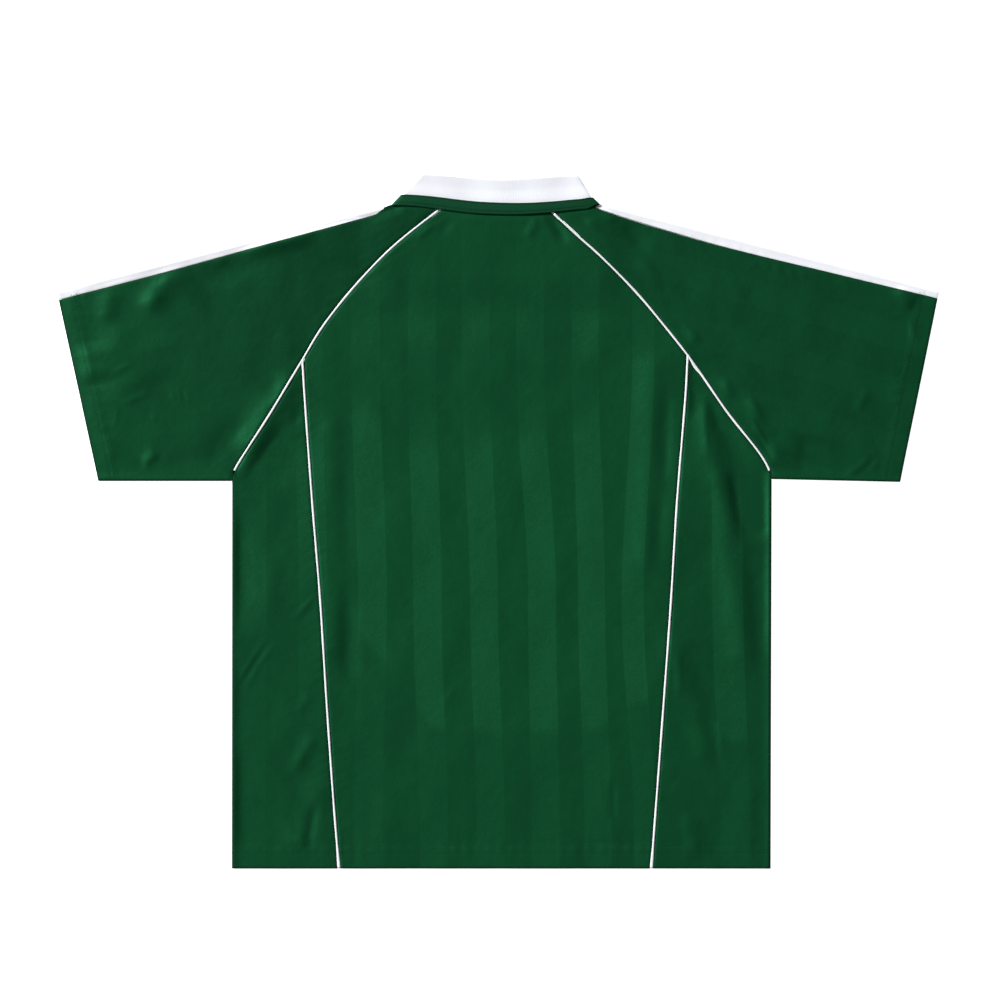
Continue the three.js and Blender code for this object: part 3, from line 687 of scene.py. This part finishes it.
def painted_edge_shade(x, y, *edges):
    """How dark a point is painted, as shade, from a folded or sewn edge near it."""
    edge = 1 - smooth((np.minimum.reduce(edges) - 0.7) / 2.4)
    seam = 0.55 * (1 - smooth((seam_distance(x, y) - PIPING_WIDTH / 2 - 0.4) / 1.6))
    return np.maximum(edge, seam)


def raglan_half(y, layer):
    if layer == "front":
        return np.full_like(y, PLAIN_HALF)
    return lerp(PLAIN_HALF, PIPED_HALF, smooth((y - CHANNEL_END_Y) / CHANNEL_RAMP))


def middle_panel(name, layer, columns, rows):
    """The middle panel of the back or the front, between the raglan and side seams."""
    half = PIPED_HALF if layer == "back" else PLAIN_HALF

    def bound(side, y):
        at_side = seam_x(side_seam[side], y, -half)
        return np.where(y < SIDE_SEAM_TOP_Y, at_side, np.minimum(at_side, seam_x(raglan[side], y, -half)))

    fixed, share = (a[:, None] for a in columns)
    place = lambda y: -bound("left", y) + fixed + share * (bound("left", y) + bound("right", y))
    low, high = np.full_like(share, SIDE_SEAM_TOP_Y), np.full_like(share, NECK_HIGH_Y)
    top = solve(lambda y: y - neck_edge_y(place(y), layer), low, high)
    y = HEM_Y + rows[0] + rows[1] * (top - HEM_Y)
    x = place(y)
    z = back_height(x, y) if layer == "back" else np.zeros_like(x)
    # rim is painted shade along the hem's folded edge and beside the piped seams.
    marks = grain(x, y, rim=painted_edge_shade(x, y, y - HEM_Y), **body_marks(x, y))
    return shell(name, np.stack([x, y, z], -1), CLOTH, marks, upward=layer == "back")


def wrapped(sign, back, roll, front, heights):
    """x, y and z of cloth that goes from the back round a roll to the front."""
    x, y = join([back[:, :-1], roll, front[:, 1:]], 1) * np.reshape((sign, 1), (2, 1, 1))
    z = back_height(sign * back[0, :-1], back[1, :-1])
    turned = np.broadcast_to(heights[:, None], roll[0].shape)
    return x, y, join([z, turned, np.zeros_like(front[0, 1:])])


def side_panel(name, side):
    """A side panel: from the back's seam out to the roll, round it, and in to the front's seam."""
    sign = SIDES[side].sign
    rows = stations(172, TURNED, EDGE[:4])
    insets, heights = roll_points(10)

    def columns_of(place, layer):
        past = lambda y: place(y) - seam_x(raglan[side], y, -raglan_half(y, layer))
        like = place(np.array([0.0]))
        top = solve(past, np.full_like(like, RAGLAN_LOW_Y), np.full_like(like, JUNCTION_Y[side] + 2))
        y = HEM_Y + rows[0] + rows[1] * (top - HEM_Y)
        return np.stack([place(y), y])

    def flat(count, half, layer, near, far):
        fixed, share = (a[:, None] for a in stations(count, near, far))
        start = lambda y: seam_x(side_seam[side], y, half)
        return columns_of(
            lambda y: start(y) + fixed + share * (edge_x(side, y) - FOLD_RADIUS - start(y)), layer
        )

    back = flat(30, PIPED_HALF, "back", EDGE, (0, 2, 5))
    front = flat(7, PLAIN_HALF, "front", (0, 3), (0, 3))
    roll = columns_of(lambda y: edge_x(side, y) - insets[:, None], "back")
    x, y, z = wrapped(sign, back, roll, front[:, ::-1], heights)
    # rim is painted shade along the rolled side edge, the hem and beside the piped seams.
    rim = painted_edge_shade(x, y, roll_distance(x, y) * SIDE_SHADE_SCALE[side], y - HEM_Y)
    return shell(name, np.stack([x, y, z], -1), CLOTH, grain(x, y, rim=rim, **body_marks(x, y)))


def overarm_line(side, inset, u, layer, on_neck=None):
    """Points at shares u of the way to the cuff, on a line `inset` in from the sleeve's top edge."""
    s = SIDES[side]
    on_neck = on_neck or (lambda x: neckline_y(s.sign * x, layer) - NECK_GAP)
    inset = np.asarray(inset, float)
    depth = lambda v: overarm(side, s.neck[0] - v, on_neck(s.neck[0] - v))[0]
    inward = solve(lambda v: depth(v) - inset, np.full_like(inset, -4), np.full_like(inset, 60))
    x, share = s.neck[0] - inward, inset / overarm(side, *s.cuff_low)[0]
    cuff_x, cuff_y = (lerp(high, low, share) for high, low in zip(s.cuff_high, s.cuff_low))
    return lerp(x, cuff_x, u), lerp(on_neck(x), cuff_y, u)


OVERARM_LENGTH = 362
BULGE_REACH = 90  # how far down a sleeve follows the curve of its top seam


def arm_band(name, side):
    """The white band over the arm."""
    sign = SIDES[side].sign
    fixed, share = stations(96, (0, 0.8, 2), TURNED)
    u = fixed / OVERARM_LENGTH + share
    insets, heights = roll_points(12)
    dipped = SLANT_DIP * (1 - smooth((u - SLANT[side]) / 0.02))
    reach = {layer: band_reach[layer](u) - BAND_GAP / 2 for layer in (side, "front")}
    rows = []
    for k in np.linspace(1, 0, 6)[:-1]:
        x, y = overarm_line(side, lerp(FOLD_RADIUS, reach[side], k), u, "back")
        rows.append((x, y, back_height(sign * x, y) - dipped))
    for i, (inset, height) in enumerate(zip(insets, heights)):
        turn = "back" if 2 * i < len(insets) else "front"
        x, y = overarm_line(side, np.full_like(u, inset), u, turn)
        rows.append((x, y, height - dipped * max(0, height / FOLD_RADIUS - 1)))
    for k in np.linspace(0, 1, 7)[1:]:
        x, y = overarm_line(side, lerp(FOLD_RADIUS, reach["front"], k), u, "front")
        rows.append((x, y, np.zeros_like(x)))
    grid = np.array(rows).transpose(0, 2, 1) * (sign, 1, 1)
    down = np.cumsum(np.linalg.norm(np.diff(grid, axis=0, prepend=grid[:1]), axis=-1), 0)
    return shell(name, grid, CLOTH, grain(down, np.broadcast_to(u * OVERARM_LENGTH, down.shape)))


def sleeve(name, side):
    """A sleeve: from the band's seam down the back, round the underarm roll and up the front."""
    s = SIDES[side]
    fixed, share = stations(84, EDGE, TURNED)
    insets, heights = roll_points(10)
    low, rise = s.underarm[1], s.cuff_high[1] - s.cuff_low[1]
    edge = lambda y, layer: seam_x(raglan[side], y, raglan_half(y, layer))
    cuff_at = lambda up: np.array([lerp(s.cuff_low[0], s.cuff_high[0], up / rise), s.cuff_low[1] + up])

    def row(inner, cuff, bulge=0):
        k = fixed / np.hypot(*(cuff - inner)) + share
        return lerp(inner, cuff, k[:, None]) + bulge

    def half(layer, steps, ends):
        on_neck = lambda x: neck_edge_y(s.sign * x, layer)

        def seam(k):
            inset = band_reach[side if layer == "back" else "front"](k) + BAND_GAP / 2
            if layer == "back":
                inset = lerp(SLANT_TOP, inset, np.clip(k / SLANT[side], 0, 1) ** SLANT_BOW[side])
            return np.stack(overarm_line(side, inset, k, layer, on_neck), -1)

        neck_end, cuff_end = seam(np.array([0.0, 1.0]))
        k = fixed / np.linalg.norm(cuff_end - neck_end) + share
        top_row = seam(k)
        bulge = top_row - lerp(top_row[:1], top_row[-1:], k[:, None])
        below, above = (np.array([float(y)]) for y in (JUNCTION_Y[side], NECK_HIGH_Y))
        neck_top = solve(lambda y: y - on_neck(edge(y, layer)), below, above)[0]
        raglan_y = np.linspace(low + FOLD_RADIUS, neck_top, 200)
        path = np.stack([edge(raglan_y, layer), raglan_y], -1)
        if layer == "back":
            neck_x = np.linspace(path[-1, 0], top_row[0, 0], 30)[1:]
            path = join([path, np.stack([neck_x, on_neck(neck_x)], -1)])
        else:
            path = join([path[:-1], top_row[:1]])
        travelled = join([[0], np.cumsum(np.linalg.norm(np.diff(path, axis=0), axis=1))])
        whole = travelled[-1]
        a, b = stations(steps, (0, 3), ends)
        rows = []
        for d in a + b * whole:
            inner = np.array([np.interp(d, travelled, column) for column in path.T])
            up = lerp(FOLD_RADIUS, top_row[-1, 1] - s.cuff_low[1], d / whole)
            near_top = np.clip(1 - (whole - d) / BULGE_REACH, 0, 1) ** 2
            rows.append(row(inner, cuff_at(up), bulge * near_top))
        return np.array(rows).transpose(2, 0, 1)

    back, front = half("back", 76, EDGE), half("front", 10, (0, 3))
    under = [row(np.array([edge(low + i, "back"), low + i]), cuff_at(i)) for i in insets]
    x, y, z = wrapped(s.sign, back[:, ::-1], np.array(under).transpose(2, 0, 1), front, heights)
    # rim is painted shade along the rolled edges, the cuff and beside the piped seams.
    rim = painted_edge_shade(x, y, roll_distance(x, y), cuff_distance(x, y))
    return shell(name, np.stack([x, y, z], -1), CLOTH, grain(y, x, rim=rim, **sleeve_marks(x, y)))


# How much wider a side piping gets at the hem, and towards the sleeve where it meets the raglan
PIPING_FLARE = 0.45
JUNCTION_FLARE = {"left": 0.6, "right": 0.8}
THICK_Y = {"left": 0, "right": 163}  # the height at which the raglan's piping is thick


def piping(name, side, line, bottom, top, flare=0, junction=0, thick_at=0):
    """A cord of folded tape lying in a seam of the back."""
    sign = SIDES[side].sign
    y = np.linspace(bottom, top, 230)
    x = line[side](y)
    slope = slope_of(line[side], y)
    turn = np.hypot(1, slope)
    wobble = 1 + 0.06 * np.sin(y / 7.3) + 0.05 * np.sin(y / 17.9 + 1)
    half = PIPING_WIDTH / 2 * wobble * (1 + flare * (1 - smooth((y - bottom) / 26)))
    thick = np.exp(-(((y - thick_at) / 5.5) ** 2)) if thick_at else np.zeros_like(y)
    hem = np.where(y < 0, y - HEM_Y, FAR)
    z = solid_height(sign * x, y) + 0.5 * creases(sign * x, y) + 0.6 * hem_ply(hem, HEM_LINES)
    angles = np.linspace(0, TURN, 12, endpoint=False)
    out, up = np.cos(angles), np.sin(angles)
    lift = np.where(up > 0, up * (PIPING_PROUD + 0.1), up * PIPING_DEPTH)
    wider = 1 + junction * smooth((y - top + 13) / 13)[:, None] * (out > 0) * out
    wider = wider + 1.3 * thick[:, None] * (out < 0)
    grid = np.stack([
        sign * (x[:, None] + out * wider * (half / turn)[:, None]),
        y[:, None] - out * wider * (half * slope / turn)[:, None],
        z[:, None] + lift,
    ], -1)
    if sign < 0:
        grid = grid[:, ::-1]
    return tube(name, grid)


def tube_sides(m, n):
    """The faces round a tube of m rings of n points."""
    index = np.arange(m * n).reshape(m, n)
    a, b = index[:-1], index[1:]
    return np.stack([a, b, np.roll(b, -1, 1), np.roll(a, -1, 1)], -1).reshape(-1, 4)


def tube(name, grid):
    """A closed tube with domed ends, from rings of points."""
    m, n = grid.shape[:2]
    middle = grid.mean(1)
    tips = [middle[a] + PIPING_DOME * unit(middle[a] - middle[b]) for a, b in ((0, 1), (-1, -2))]
    first, last = list(range(n)), list(range((m - 1) * n, m * n))
    caps = [[i, j, m * n] for i, j in zip(first, first[1:] + first[:1])]
    caps += [[j, i, m * n + 1] for i, j in zip(last, last[1:] + last[:1])]
    return make_object(name, join([grid.reshape(-1, 3), tips]), tube_sides(m, n).tolist() + caps)


def collar_drop(t):
    """How much lower the collar lies towards its free edge."""
    return COLLAR_DROP * smooth((t - DROP_FROM) / DROP_OVER)


def neck_ring(name, start, end, radius, thickness, steps, finish, opening=0, puff=0, groove=0):
    """The neckband or the collar: a ring folded flat at both sides."""
    t = np.linspace(start, end, steps + 1)
    inset = BAND_RADIUS - radius
    drop = collar_drop(t) if opening else np.zeros_like(t)
    leans = [math.atan2(s.collar[1] - s.neck[1], s.neck[0] - s.collar[0]) for s in SIDES.values()]
    width = neck_point(1, t, "back")[0] - neck_point(0, t, "back")[0]

    def across(f, layer, height):
        x, y = neck_point(f, t, layer)
        return np.stack([x, y, height - drop], -1)

    def fold(end_of):
        angles = np.linspace(math.pi / 2, -math.pi / 2, 13)
        rows = []
        for i, angle in enumerate(angles):
            shift = (inset + radius * (1 - math.cos(angle))) / math.sin(leans[end_of]) / width
            f = shift if end_of == 0 else 1 - shift
            layer = "back" if 2 * i < len(angles) else "front"
            rows.append(across(f, layer, BAND_RADIUS + radius * math.sin(angle)))
        return rows

    shares = np.linspace(0.036, 0.964, 91)
    share = np.linspace(0, 1, steps + 1)
    bulge = puff * np.sin(np.pi * share) ** 0.6 - groove * np.exp(-(((share - BAND_LINE) / 0.045) ** 2))
    high, low = BAND_RADIUS + radius, np.full_like(t, BAND_RADIUS - radius)
    back = [across(f, "back", high + bulge * smooth(f / 0.12) * smooth((1 - f) / 0.12)) for f in shares]
    front = [across(f, "front", low) for f in shares[::-1]]
    if not opening:
        rows, ring, upward = [*back, *fold(1), *front, *fold(0)[::-1]], True, True
    else:
        start = neck_point(0, t, "front")[0]
        cut = lambda sign: across((sign * opening / 2 - start) / width, "front", low)
        right = [row for row in front if row[:, 0].min() > opening] + [cut(1)]
        left = [cut(-1)] + [row for row in front if row[:, 0].max() < -opening]
        rows, ring, upward = [*left, *fold(0)[::-1], *back, *fold(1), *right], False, False
    grid = finish(np.array(rows))
    along = np.cumsum(np.linalg.norm(np.diff(grid[:, 0], axis=0, prepend=grid[:1, 0]), axis=-1))
    up = np.linalg.norm(grid - grid[:, :1], axis=-1)
    # rim is painted shade: dark along the band's lower and upper edges and on the line where its edge is
    # sewn.
    rim = np.maximum(0.4 - 0.4 * smooth((up - 0.3) / 1.1), 1 - smooth((up[:, -1:] - up - 0.3) / 2.2))
    rim = np.maximum(rim, 0.5 * np.exp(-(((share - BAND_LINE) / 0.04) ** 2)))
    marks = grain(np.broadcast_to(along[:, None], up.shape), up, rim=rim)
    return shell(name, grid, thickness, marks, upward=upward, ring=ring)


def stitches(name, lines):
    """Rows of short stitches on the back, each dipping into the cloth at both ends."""
    turn = np.linspace(0, TURN, 6, endpoint=False)
    along, girth, height = np.array([
        (-0.5, 0.25, -0.22), (-0.36, 0.8, 0.02), (0, 1, 0.12), (0.36, 0.8, 0.02), (0.5, 0.25, -0.22)
    ]).T
    around = np.cos(turn)[None] * girth[:, None] * STITCH_WIDTH / 2
    above = np.sin(turn)[None] * girth[:, None] * STITCH_WIDTH / 2.6
    sides, size = tube_sides(5, 6), 30
    points, faces = [], []
    for (x0, y0), (x1, y1) in lines:
        length = math.hypot(x1 - x0, y1 - y0)
        count = max(1, int(length / STITCH_STEP))
        ahead = np.array([(x1 - x0) / length, (y1 - y0) / length])
        aside = np.array([-ahead[1], ahead[0]])
        for k in range(count):
            centre = np.array([x0, y0]) + ahead * (k + 0.5) * length / count
            spine = centre + along[:, None] * STITCH_LENGTH * ahead
            z = back_height(spine[:, 0], spine[:, 1]) + STITCH_LIFT + height
            xy = spine[:, None] + around[..., None] * aside
            total = len(points) * size
            points.append(join([xy, (z[:, None] + above)[..., None]], -1).reshape(-1, 3))
            faces += (sides + total).tolist()
            faces += [list(range(total + 5, total - 1, -1)), list(range(total + 24, total + size))]
    return make_object(name, join(points), faces)


class Nodes:
    """A material's node tree, built by short calls."""

    def __init__(self, name):
        self.material = bpy.data.materials.new(name)
        self.material.use_nodes = True
        self.tree = self.material.node_tree
        self.shader = self.tree.nodes["Principled BSDF"]

    def add(self, kind, inputs=None, **settings):
        node = self.tree.nodes.new(kind)
        for key, value in settings.items():
            setattr(node, key, value)
        for key, value in (inputs or {}).items():
            self.put(node.inputs[key], value)
        return node

    def put(self, socket, value):
        if isinstance(value, bpy.types.NodeSocket):
            self.tree.links.new(value, socket)
        else:
            socket.default_value = value

    def math(self, operation, *values):
        return self.add("ShaderNodeMath", dict(enumerate(values)), operation=operation).outputs[0]

    def attribute(self, name):
        return self.add("ShaderNodeAttribute", attribute_name=name).outputs["Fac"]

    def times(self, a, b):
        return self.math("MULTIPLY", a, b)

    def plus(self, a, b):
        return self.math("ADD", a, b)

    def noise(self, scale, detail=2.0, roughness=0.5):
        place = self.add("ShaderNodeTexCoord").outputs["Object"]
        inputs = {"Vector": place, "Scale": scale, "Detail": detail, "Roughness": roughness}
        return self.add("ShaderNodeTexNoise", inputs).outputs["Fac"]

    def fit(self, value, low, high, to_low, to_high, soft=False):
        """A value carried from one range to another and held within it."""
        inputs = {0: value, 1: low, 2: high, 3: to_low, 4: to_high}
        kind = "SMOOTHSTEP" if soft else "LINEAR"
        return self.add("ShaderNodeMapRange", inputs, interpolation_type=kind).outputs[0]

    def blend(self, factor, a, b):
        node = self.add("ShaderNodeMix", data_type="RGBA")
        self.put(node.inputs[0], factor)
        self.put(node.inputs[6], a)
        self.put(node.inputs[7], b)
        return node.outputs[2]

    def bump(self, height, distance, strength=1.0, over=None):
        inputs = {"Height": height, "Distance": distance, "Strength": strength}
        if over is not None:
            inputs["Normal"] = over
        return self.add("ShaderNodeBump", inputs).outputs[0]

    def knit(self, wale, course):
        """The height of a fine knit: rows of small loops along the cloth's own coordinates."""
        weft, warp = self.attribute("weft"), self.attribute("warp")
        across = self.math("SINE", self.times(weft, TURN / wale))
        up = self.math("SINE", self.plus(self.times(warp, TURN / course), across))
        return self.times(self.plus(self.times(up, 0.5), across), 0.5)

    def surface(self, **inputs):
        for key, value in inputs.items():
            self.put(self.shader.inputs[key.replace("_", " ")], value)
        return self.material


GREEN_DARK = (0.0031, 0.0400, 0.0129, 1)
GREEN_LIGHT = (0.0050, 0.0575, 0.0205, 1)
# Deep green for the painted shade of whole parts, which the random uneven tone also reaches.
GREEN_TONE_AND_SHADE = (0.0004, 0.0030, 0.0012, 1)
# Near-black green, painted as shade along folded edges, piped seams, and the neckband's edges and sewn
# line.
GREEN_EDGE_SHADE = (0.0006, 0.0080, 0.0028, 1)
SATIN_TINT = (0.07, 0.92, 0.36, 1)
SATIN_LEVEL = 0.6
WHITE = (0.925, 0.94, 0.98, 1)


def green_cloth():
    m = Nodes("green_jersey_knit")
    light = m.fit(m.attribute("stripe"), -0.5, 0.5, 0, 1)
    cloudy = m.fit(m.noise(16, 3), 0.3, 0.7, 0.78, 1.14)
    grainy = m.fit(m.noise(620, 2, 0.75), 0.32, 0.68, 0.15, 1.9)
    # How strongly the light stripes show carries painted sheen.
    strength = m.times(m.times(light, m.attribute("gain")), m.times(cloudy, grainy))
    colour = m.blend(strength, GREEN_DARK, GREEN_LIGHT)
    uneven = m.fit(m.noise(7, 3, 0.6), 0.3, 0.7, -0.14, 0.18)
    # The part's tone mark is painted shade; the noise added to it is random uneven tone.
    tone_and_shade = m.math("MINIMUM", m.math("MAXIMUM", m.plus(m.attribute("tone"), uneven), 0.0), 1.8)
    colour = m.blend(m.times(tone_and_shade, 0.26), colour, GREEN_TONE_AND_SHADE)
    # Painted shade along folded edges and beside piped seams; the roughness also rises there.
    rim = m.attribute("rim")
    colour = m.blend(rim, colour, GREEN_EDGE_SHADE)
    satin = m.fit(strength, 0, 1, 0.53, 0.55)
    satin = m.plus(satin, m.fit(m.noise(60, 2), 0.3, 0.7, -0.03, 0.03))
    fine = m.bump(m.knit(0.95, 0.8), 0.00005, 0.35)
    small = m.bump(m.noise(95, 3, 0.55), 0.0007, 0.5, fine)
    return m.surface(
        Base_Color=colour,
        Roughness=m.plus(satin, m.times(rim, 0.35)),
        Normal=small,
        Specular_IOR_Level=SATIN_LEVEL,
        Specular_Tint=SATIN_TINT,
    )


def white_cloth():
    m = Nodes("white_jersey_knit")
    tone = m.fit(m.noise(45, 3), 0.3, 0.7, 0.0, 1.0)
    colour = m.blend(tone, WHITE, (0.87, 0.89, 0.945, 1))
    fine = m.bump(m.knit(0.95, 0.8), 0.00005, 0.4)
    return m.surface(
        Base_Color=colour,
        Roughness=m.fit(m.noise(90), 0.3, 0.7, 0.5, 0.62),
        Normal=m.bump(m.noise(120, 3), 0.0005, 0.4, fine),
        Specular_IOR_Level=0.3,
    )


def white_rib():
    m = Nodes("white_rib_knit")
    ribs = m.math("SINE", m.times(m.attribute("weft"), TURN / 1.9))
    # The rib grooves are painted a little darker, as shade.
    groove = m.fit(ribs, -1, -0.4, 1, 0, soft=True)
    tone = m.math("MAXIMUM", m.times(groove, 0.2), m.fit(m.noise(40, 3), 0.35, 0.75, 0, 0.5))
    colour = m.blend(tone, (0.855, 0.872, 0.922, 1), (0.79, 0.81, 0.87, 1))
    ribbed = m.bump(ribs, 0.00008, 0.5)
    return m.surface(
        Base_Color=colour,
        Roughness=0.72,
        Normal=m.bump(m.knit(1.9, 1.1), 0.00008, 0.5, ribbed),
        Specular_IOR_Level=0.25,
    )


def white_piping():
    m = Nodes("white_piping_tape")
    tone = m.fit(m.noise(130, 2), 0.3, 0.7, 0, 1)
    colour = m.blend(tone, (0.88, 0.895, 0.92, 1), (0.80, 0.82, 0.86, 1))
    return m.surface(
        Base_Color=colour,
        Roughness=0.5,
        Normal=m.bump(m.noise(520, 2), 0.0002, 0.4),
        Specular_IOR_Level=0.35,
    )


def thread(name, colour, darker):
    m = Nodes(name)
    twist = m.noise(1400, 1)
    return m.surface(
        Base_Color=m.blend(twist, colour, darker),
        Roughness=0.45,
        Normal=m.bump(twist, 0.0001, 0.5),
        Specular_IOR_Level=0.3,
        Specular_Tint=colour,
    )


def dress(obj, material, slot, *nodes):
    """Gives a piece its material, hangs it on the root body and hides the solids it stands for, if any; the
    slot is not used.
    """
    obj.data.materials.append(material)
    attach(obj, "root")
    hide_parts(*nodes)


def build_cloth():
    green, white = green_cloth(), white_cloth()
    front = middle_panel("front_cloth", "front", stations(40), stations(64))
    dress(front, green, "green_jersey_cloth", "front_panel")
    columns, rows = stations(126, EDGE, EDGE), stations(214, TURNED, EDGE)
    back = middle_panel("back_cloth", "back", columns, rows)
    dress(back, green, "green_jersey_cloth", "back_panel")
    for side in SIDES:
        dress(side_panel(f"side_cloth_{side}", side), green, "green_jersey_cloth", f"side_panel_{side}")
        dress(sleeve(f"sleeve_cloth_{side}", side), green, "green_jersey_cloth", f"sleeve_{side}")
        dress(arm_band(f"arm_band_cloth_{side}", side), white, "white_jersey_cloth", f"arm_band_{side}")


def build_piping():
    tape = white_piping()
    for side, s in SIDES.items():
        meets = lambda y: y - neckline_y(s.sign * raglan[side](y), "back") + NECK_GAP + PIPING_WIDTH / 2
        top = float(solve(meets, np.array(float(JUNCTION_Y[side])), np.array(float(NECK_HIGH_Y))))
        cord = piping(f"raglan_cord_{side}", side, raglan, RAGLAN_PIPING_END_Y, top, thick_at=THICK_Y[side])
        dress(cord, tape, "white_piping", f"raglan_piping_{side}")
        ends, flares = (HEM_Y + 0.6, JUNCTION_Y[side] + 1.5), (PIPING_FLARE, JUNCTION_FLARE[side])
        cord = piping(f"side_cord_{side}", side, side_seam, *ends, *flares)
        dress(cord, tape, "white_piping", f"side_piping_{side}")


def rest_neckband(grid):
    """The neckband's lower edge stands a little off the back at its middle."""
    middle = smooth((70 - np.abs(grid[..., 0] + 3)) / 30)
    on_top = grid[..., 2] > BAND_RADIUS + 1
    low = np.linspace(1, 0, grid.shape[1])[None]
    grid[..., 2] += np.where(on_top, 0.5 * middle * low, 0)
    return grid


def wave_collar(grid):
    """The collar's back lies in very slight waves."""
    x, t = grid[..., 0], np.linspace(0, 1, grid.shape[1])[None]
    on_top = grid[..., 2] > BAND_RADIUS - collar_drop(t)
    wave = 0.35 * np.sin(x / 17.0 + 0.6) + 0.2 * np.sin(x / 7.9 + 2)
    grid[..., 2] += np.where(on_top, wave * smooth(t / 0.4) * smooth((92 - np.abs(x)) / 20), 0)
    return grid


def build_neck():
    size = 0, BAND_TOP, BAND_RADIUS, CLOTH
    band = neck_ring("neckband_cloth", *size, steps=30, puff=0.5, groove=0.22, finish=rest_neckband)
    dress(band, green_band(), "green_jersey_cloth", "neckband")
    size = COLLAR_BASE, 1, COLLAR_RADIUS, COLLAR_CLOTH
    collar = neck_ring("collar_cloth", *size, steps=26, opening=COLLAR_OPENING, finish=wave_collar)
    dress(collar, white_rib(), "white_rib_knit", "collar")


def green_band():
    m = Nodes("green_neckband_knit")
    tone = m.fit(m.noise(420, 2, 0.6), 0.3, 0.7, 0, 1)
    base = m.blend(tone, (0.0060, 0.0410, 0.0180, 1), (0.0042, 0.0310, 0.0128, 1))
    # The rim mark paints shade, in near-black green, along the band's edges and its sewn line.
    return m.surface(
        Base_Color=m.blend(m.attribute("rim"), base, GREEN_EDGE_SHADE),
        Roughness=0.6,
        Normal=m.bump(m.knit(1.2, 1.0), 0.00008, 0.5),
        Specular_IOR_Level=0.45,
        Specular_Tint=SATIN_TINT,
    )


def build_stitches():
    green = thread("green_thread", (0.016, 0.125, 0.048, 1), (0.006, 0.055, 0.020, 1))
    grey = thread("grey_thread", (0.55, 0.57, 0.60, 1), (0.35, 0.37, 0.40, 1))
    ends = 3 - SIDES["left"].hem_x, SIDES["right"].hem_x - 3
    hem = [[(x, HEM_Y + line) for x in ends] for line in HEM_LINES]
    dress(stitches("hem_stitches", hem), green, "green_jersey_cloth")
    for side, s in SIDES.items():
        along = np.subtract(s.cuff_high, s.cuff_low)
        length = math.hypot(*along)
        ahead = along / length
        inward = np.array([-ahead[1], ahead[0]])
        at = lambda d, line: (s.cuff_low + ahead * d + inward * line) * (s.sign, 1)
        seam = length - float(band_reach[side](1.0))
        on_sleeve = [(at(3, line), at(seam - 2.5, line)) for line in CUFF_LINES]
        on_band = [(at(seam - 0.5, line), at(length - 4.5, line)) for line in CUFF_LINES]
        dress(stitches(f"cuff_stitches_{side}", on_sleeve), green, "green_jersey_cloth")
        dress(stitches(f"band_stitches_{side}", on_band), grey, "white_jersey_cloth")


def build_stage():
    """A pale floor, a soft light and a camera straight above."""
    corners = [(x * FLOOR_HALF, y * FLOOR_HALF, 0) for x, y in ((-1, -1), (1, -1), (1, 1), (-1, 1))]
    floor = make_object("floor", corners, [(0, 1, 2, 3)])
    floor.location.z = -FLOOR_DROP * MM
    paper = Nodes("white_paper").surface(
        Base_Color=(0.93, 0.93, 0.93, 1),
        Roughness=0.95,
        Specular_IOR_Level=0.0,
        Emission_Color=(1, 1, 1, 1),
        Emission_Strength=FLOOR_GLOW,
    )
    floor.data.materials.append(paper)

    world = bpy.data.worlds.new("studio")
    bpy.context.scene.world = world
    world.use_nodes = True
    background = world.node_tree.nodes["Background"].inputs
    background["Color"].default_value = (1, 1, 1, 1)
    background["Strength"].default_value = WORLD_STRENGTH
    sun = bpy.data.lights.new("key", "SUN")
    sun.energy, sun.angle = KEY_STRENGTH, math.radians(KEY_SPREAD)
    lamp = add_object("key", sun)
    around = math.radians(KEY_BEARING)
    lamp.rotation_euler = (math.radians(90 - KEY_ELEVATION), 0, around + math.pi / 2)
    lamp.location = (2 * math.cos(around), 2 * math.sin(around), 1.5)

    lens = bpy.data.cameras.new("camera")
    lens.sensor_width = 36
    lens.lens = lens.sensor_width * CAMERA_HEIGHT / VIEW_WIDTH
    camera = add_object("camera", lens)
    camera.location = (*VIEW_CENTRE, CAMERA_HEIGHT)
    scene = bpy.context.scene
    scene.camera = camera
    scene.view_settings.view_transform = "Standard"
    scene.view_settings.look = "None"


# The key light: where it comes from, anticlockwise from +X and up from the floor, in degrees
KEY_BEARING, KEY_ELEVATION = 153, 31
KEY_SPREAD, KEY_STRENGTH = 18, 5.2
FLOOR_HALF, FLOOR_DROP = 6000, 0.4
WORLD_STRENGTH = 0.17
FLOOR_GLOW = 1.0
# The photograph's frame, in metres: its width at the jersey, and the place of its middle
VIEW_WIDTH = 1.050
VIEW_CENTRE = (0.0021, 0.0226)
CAMERA_HEIGHT = 3.4

build_cloth()
build_piping()
build_neck()
build_stitches()
build_stage()
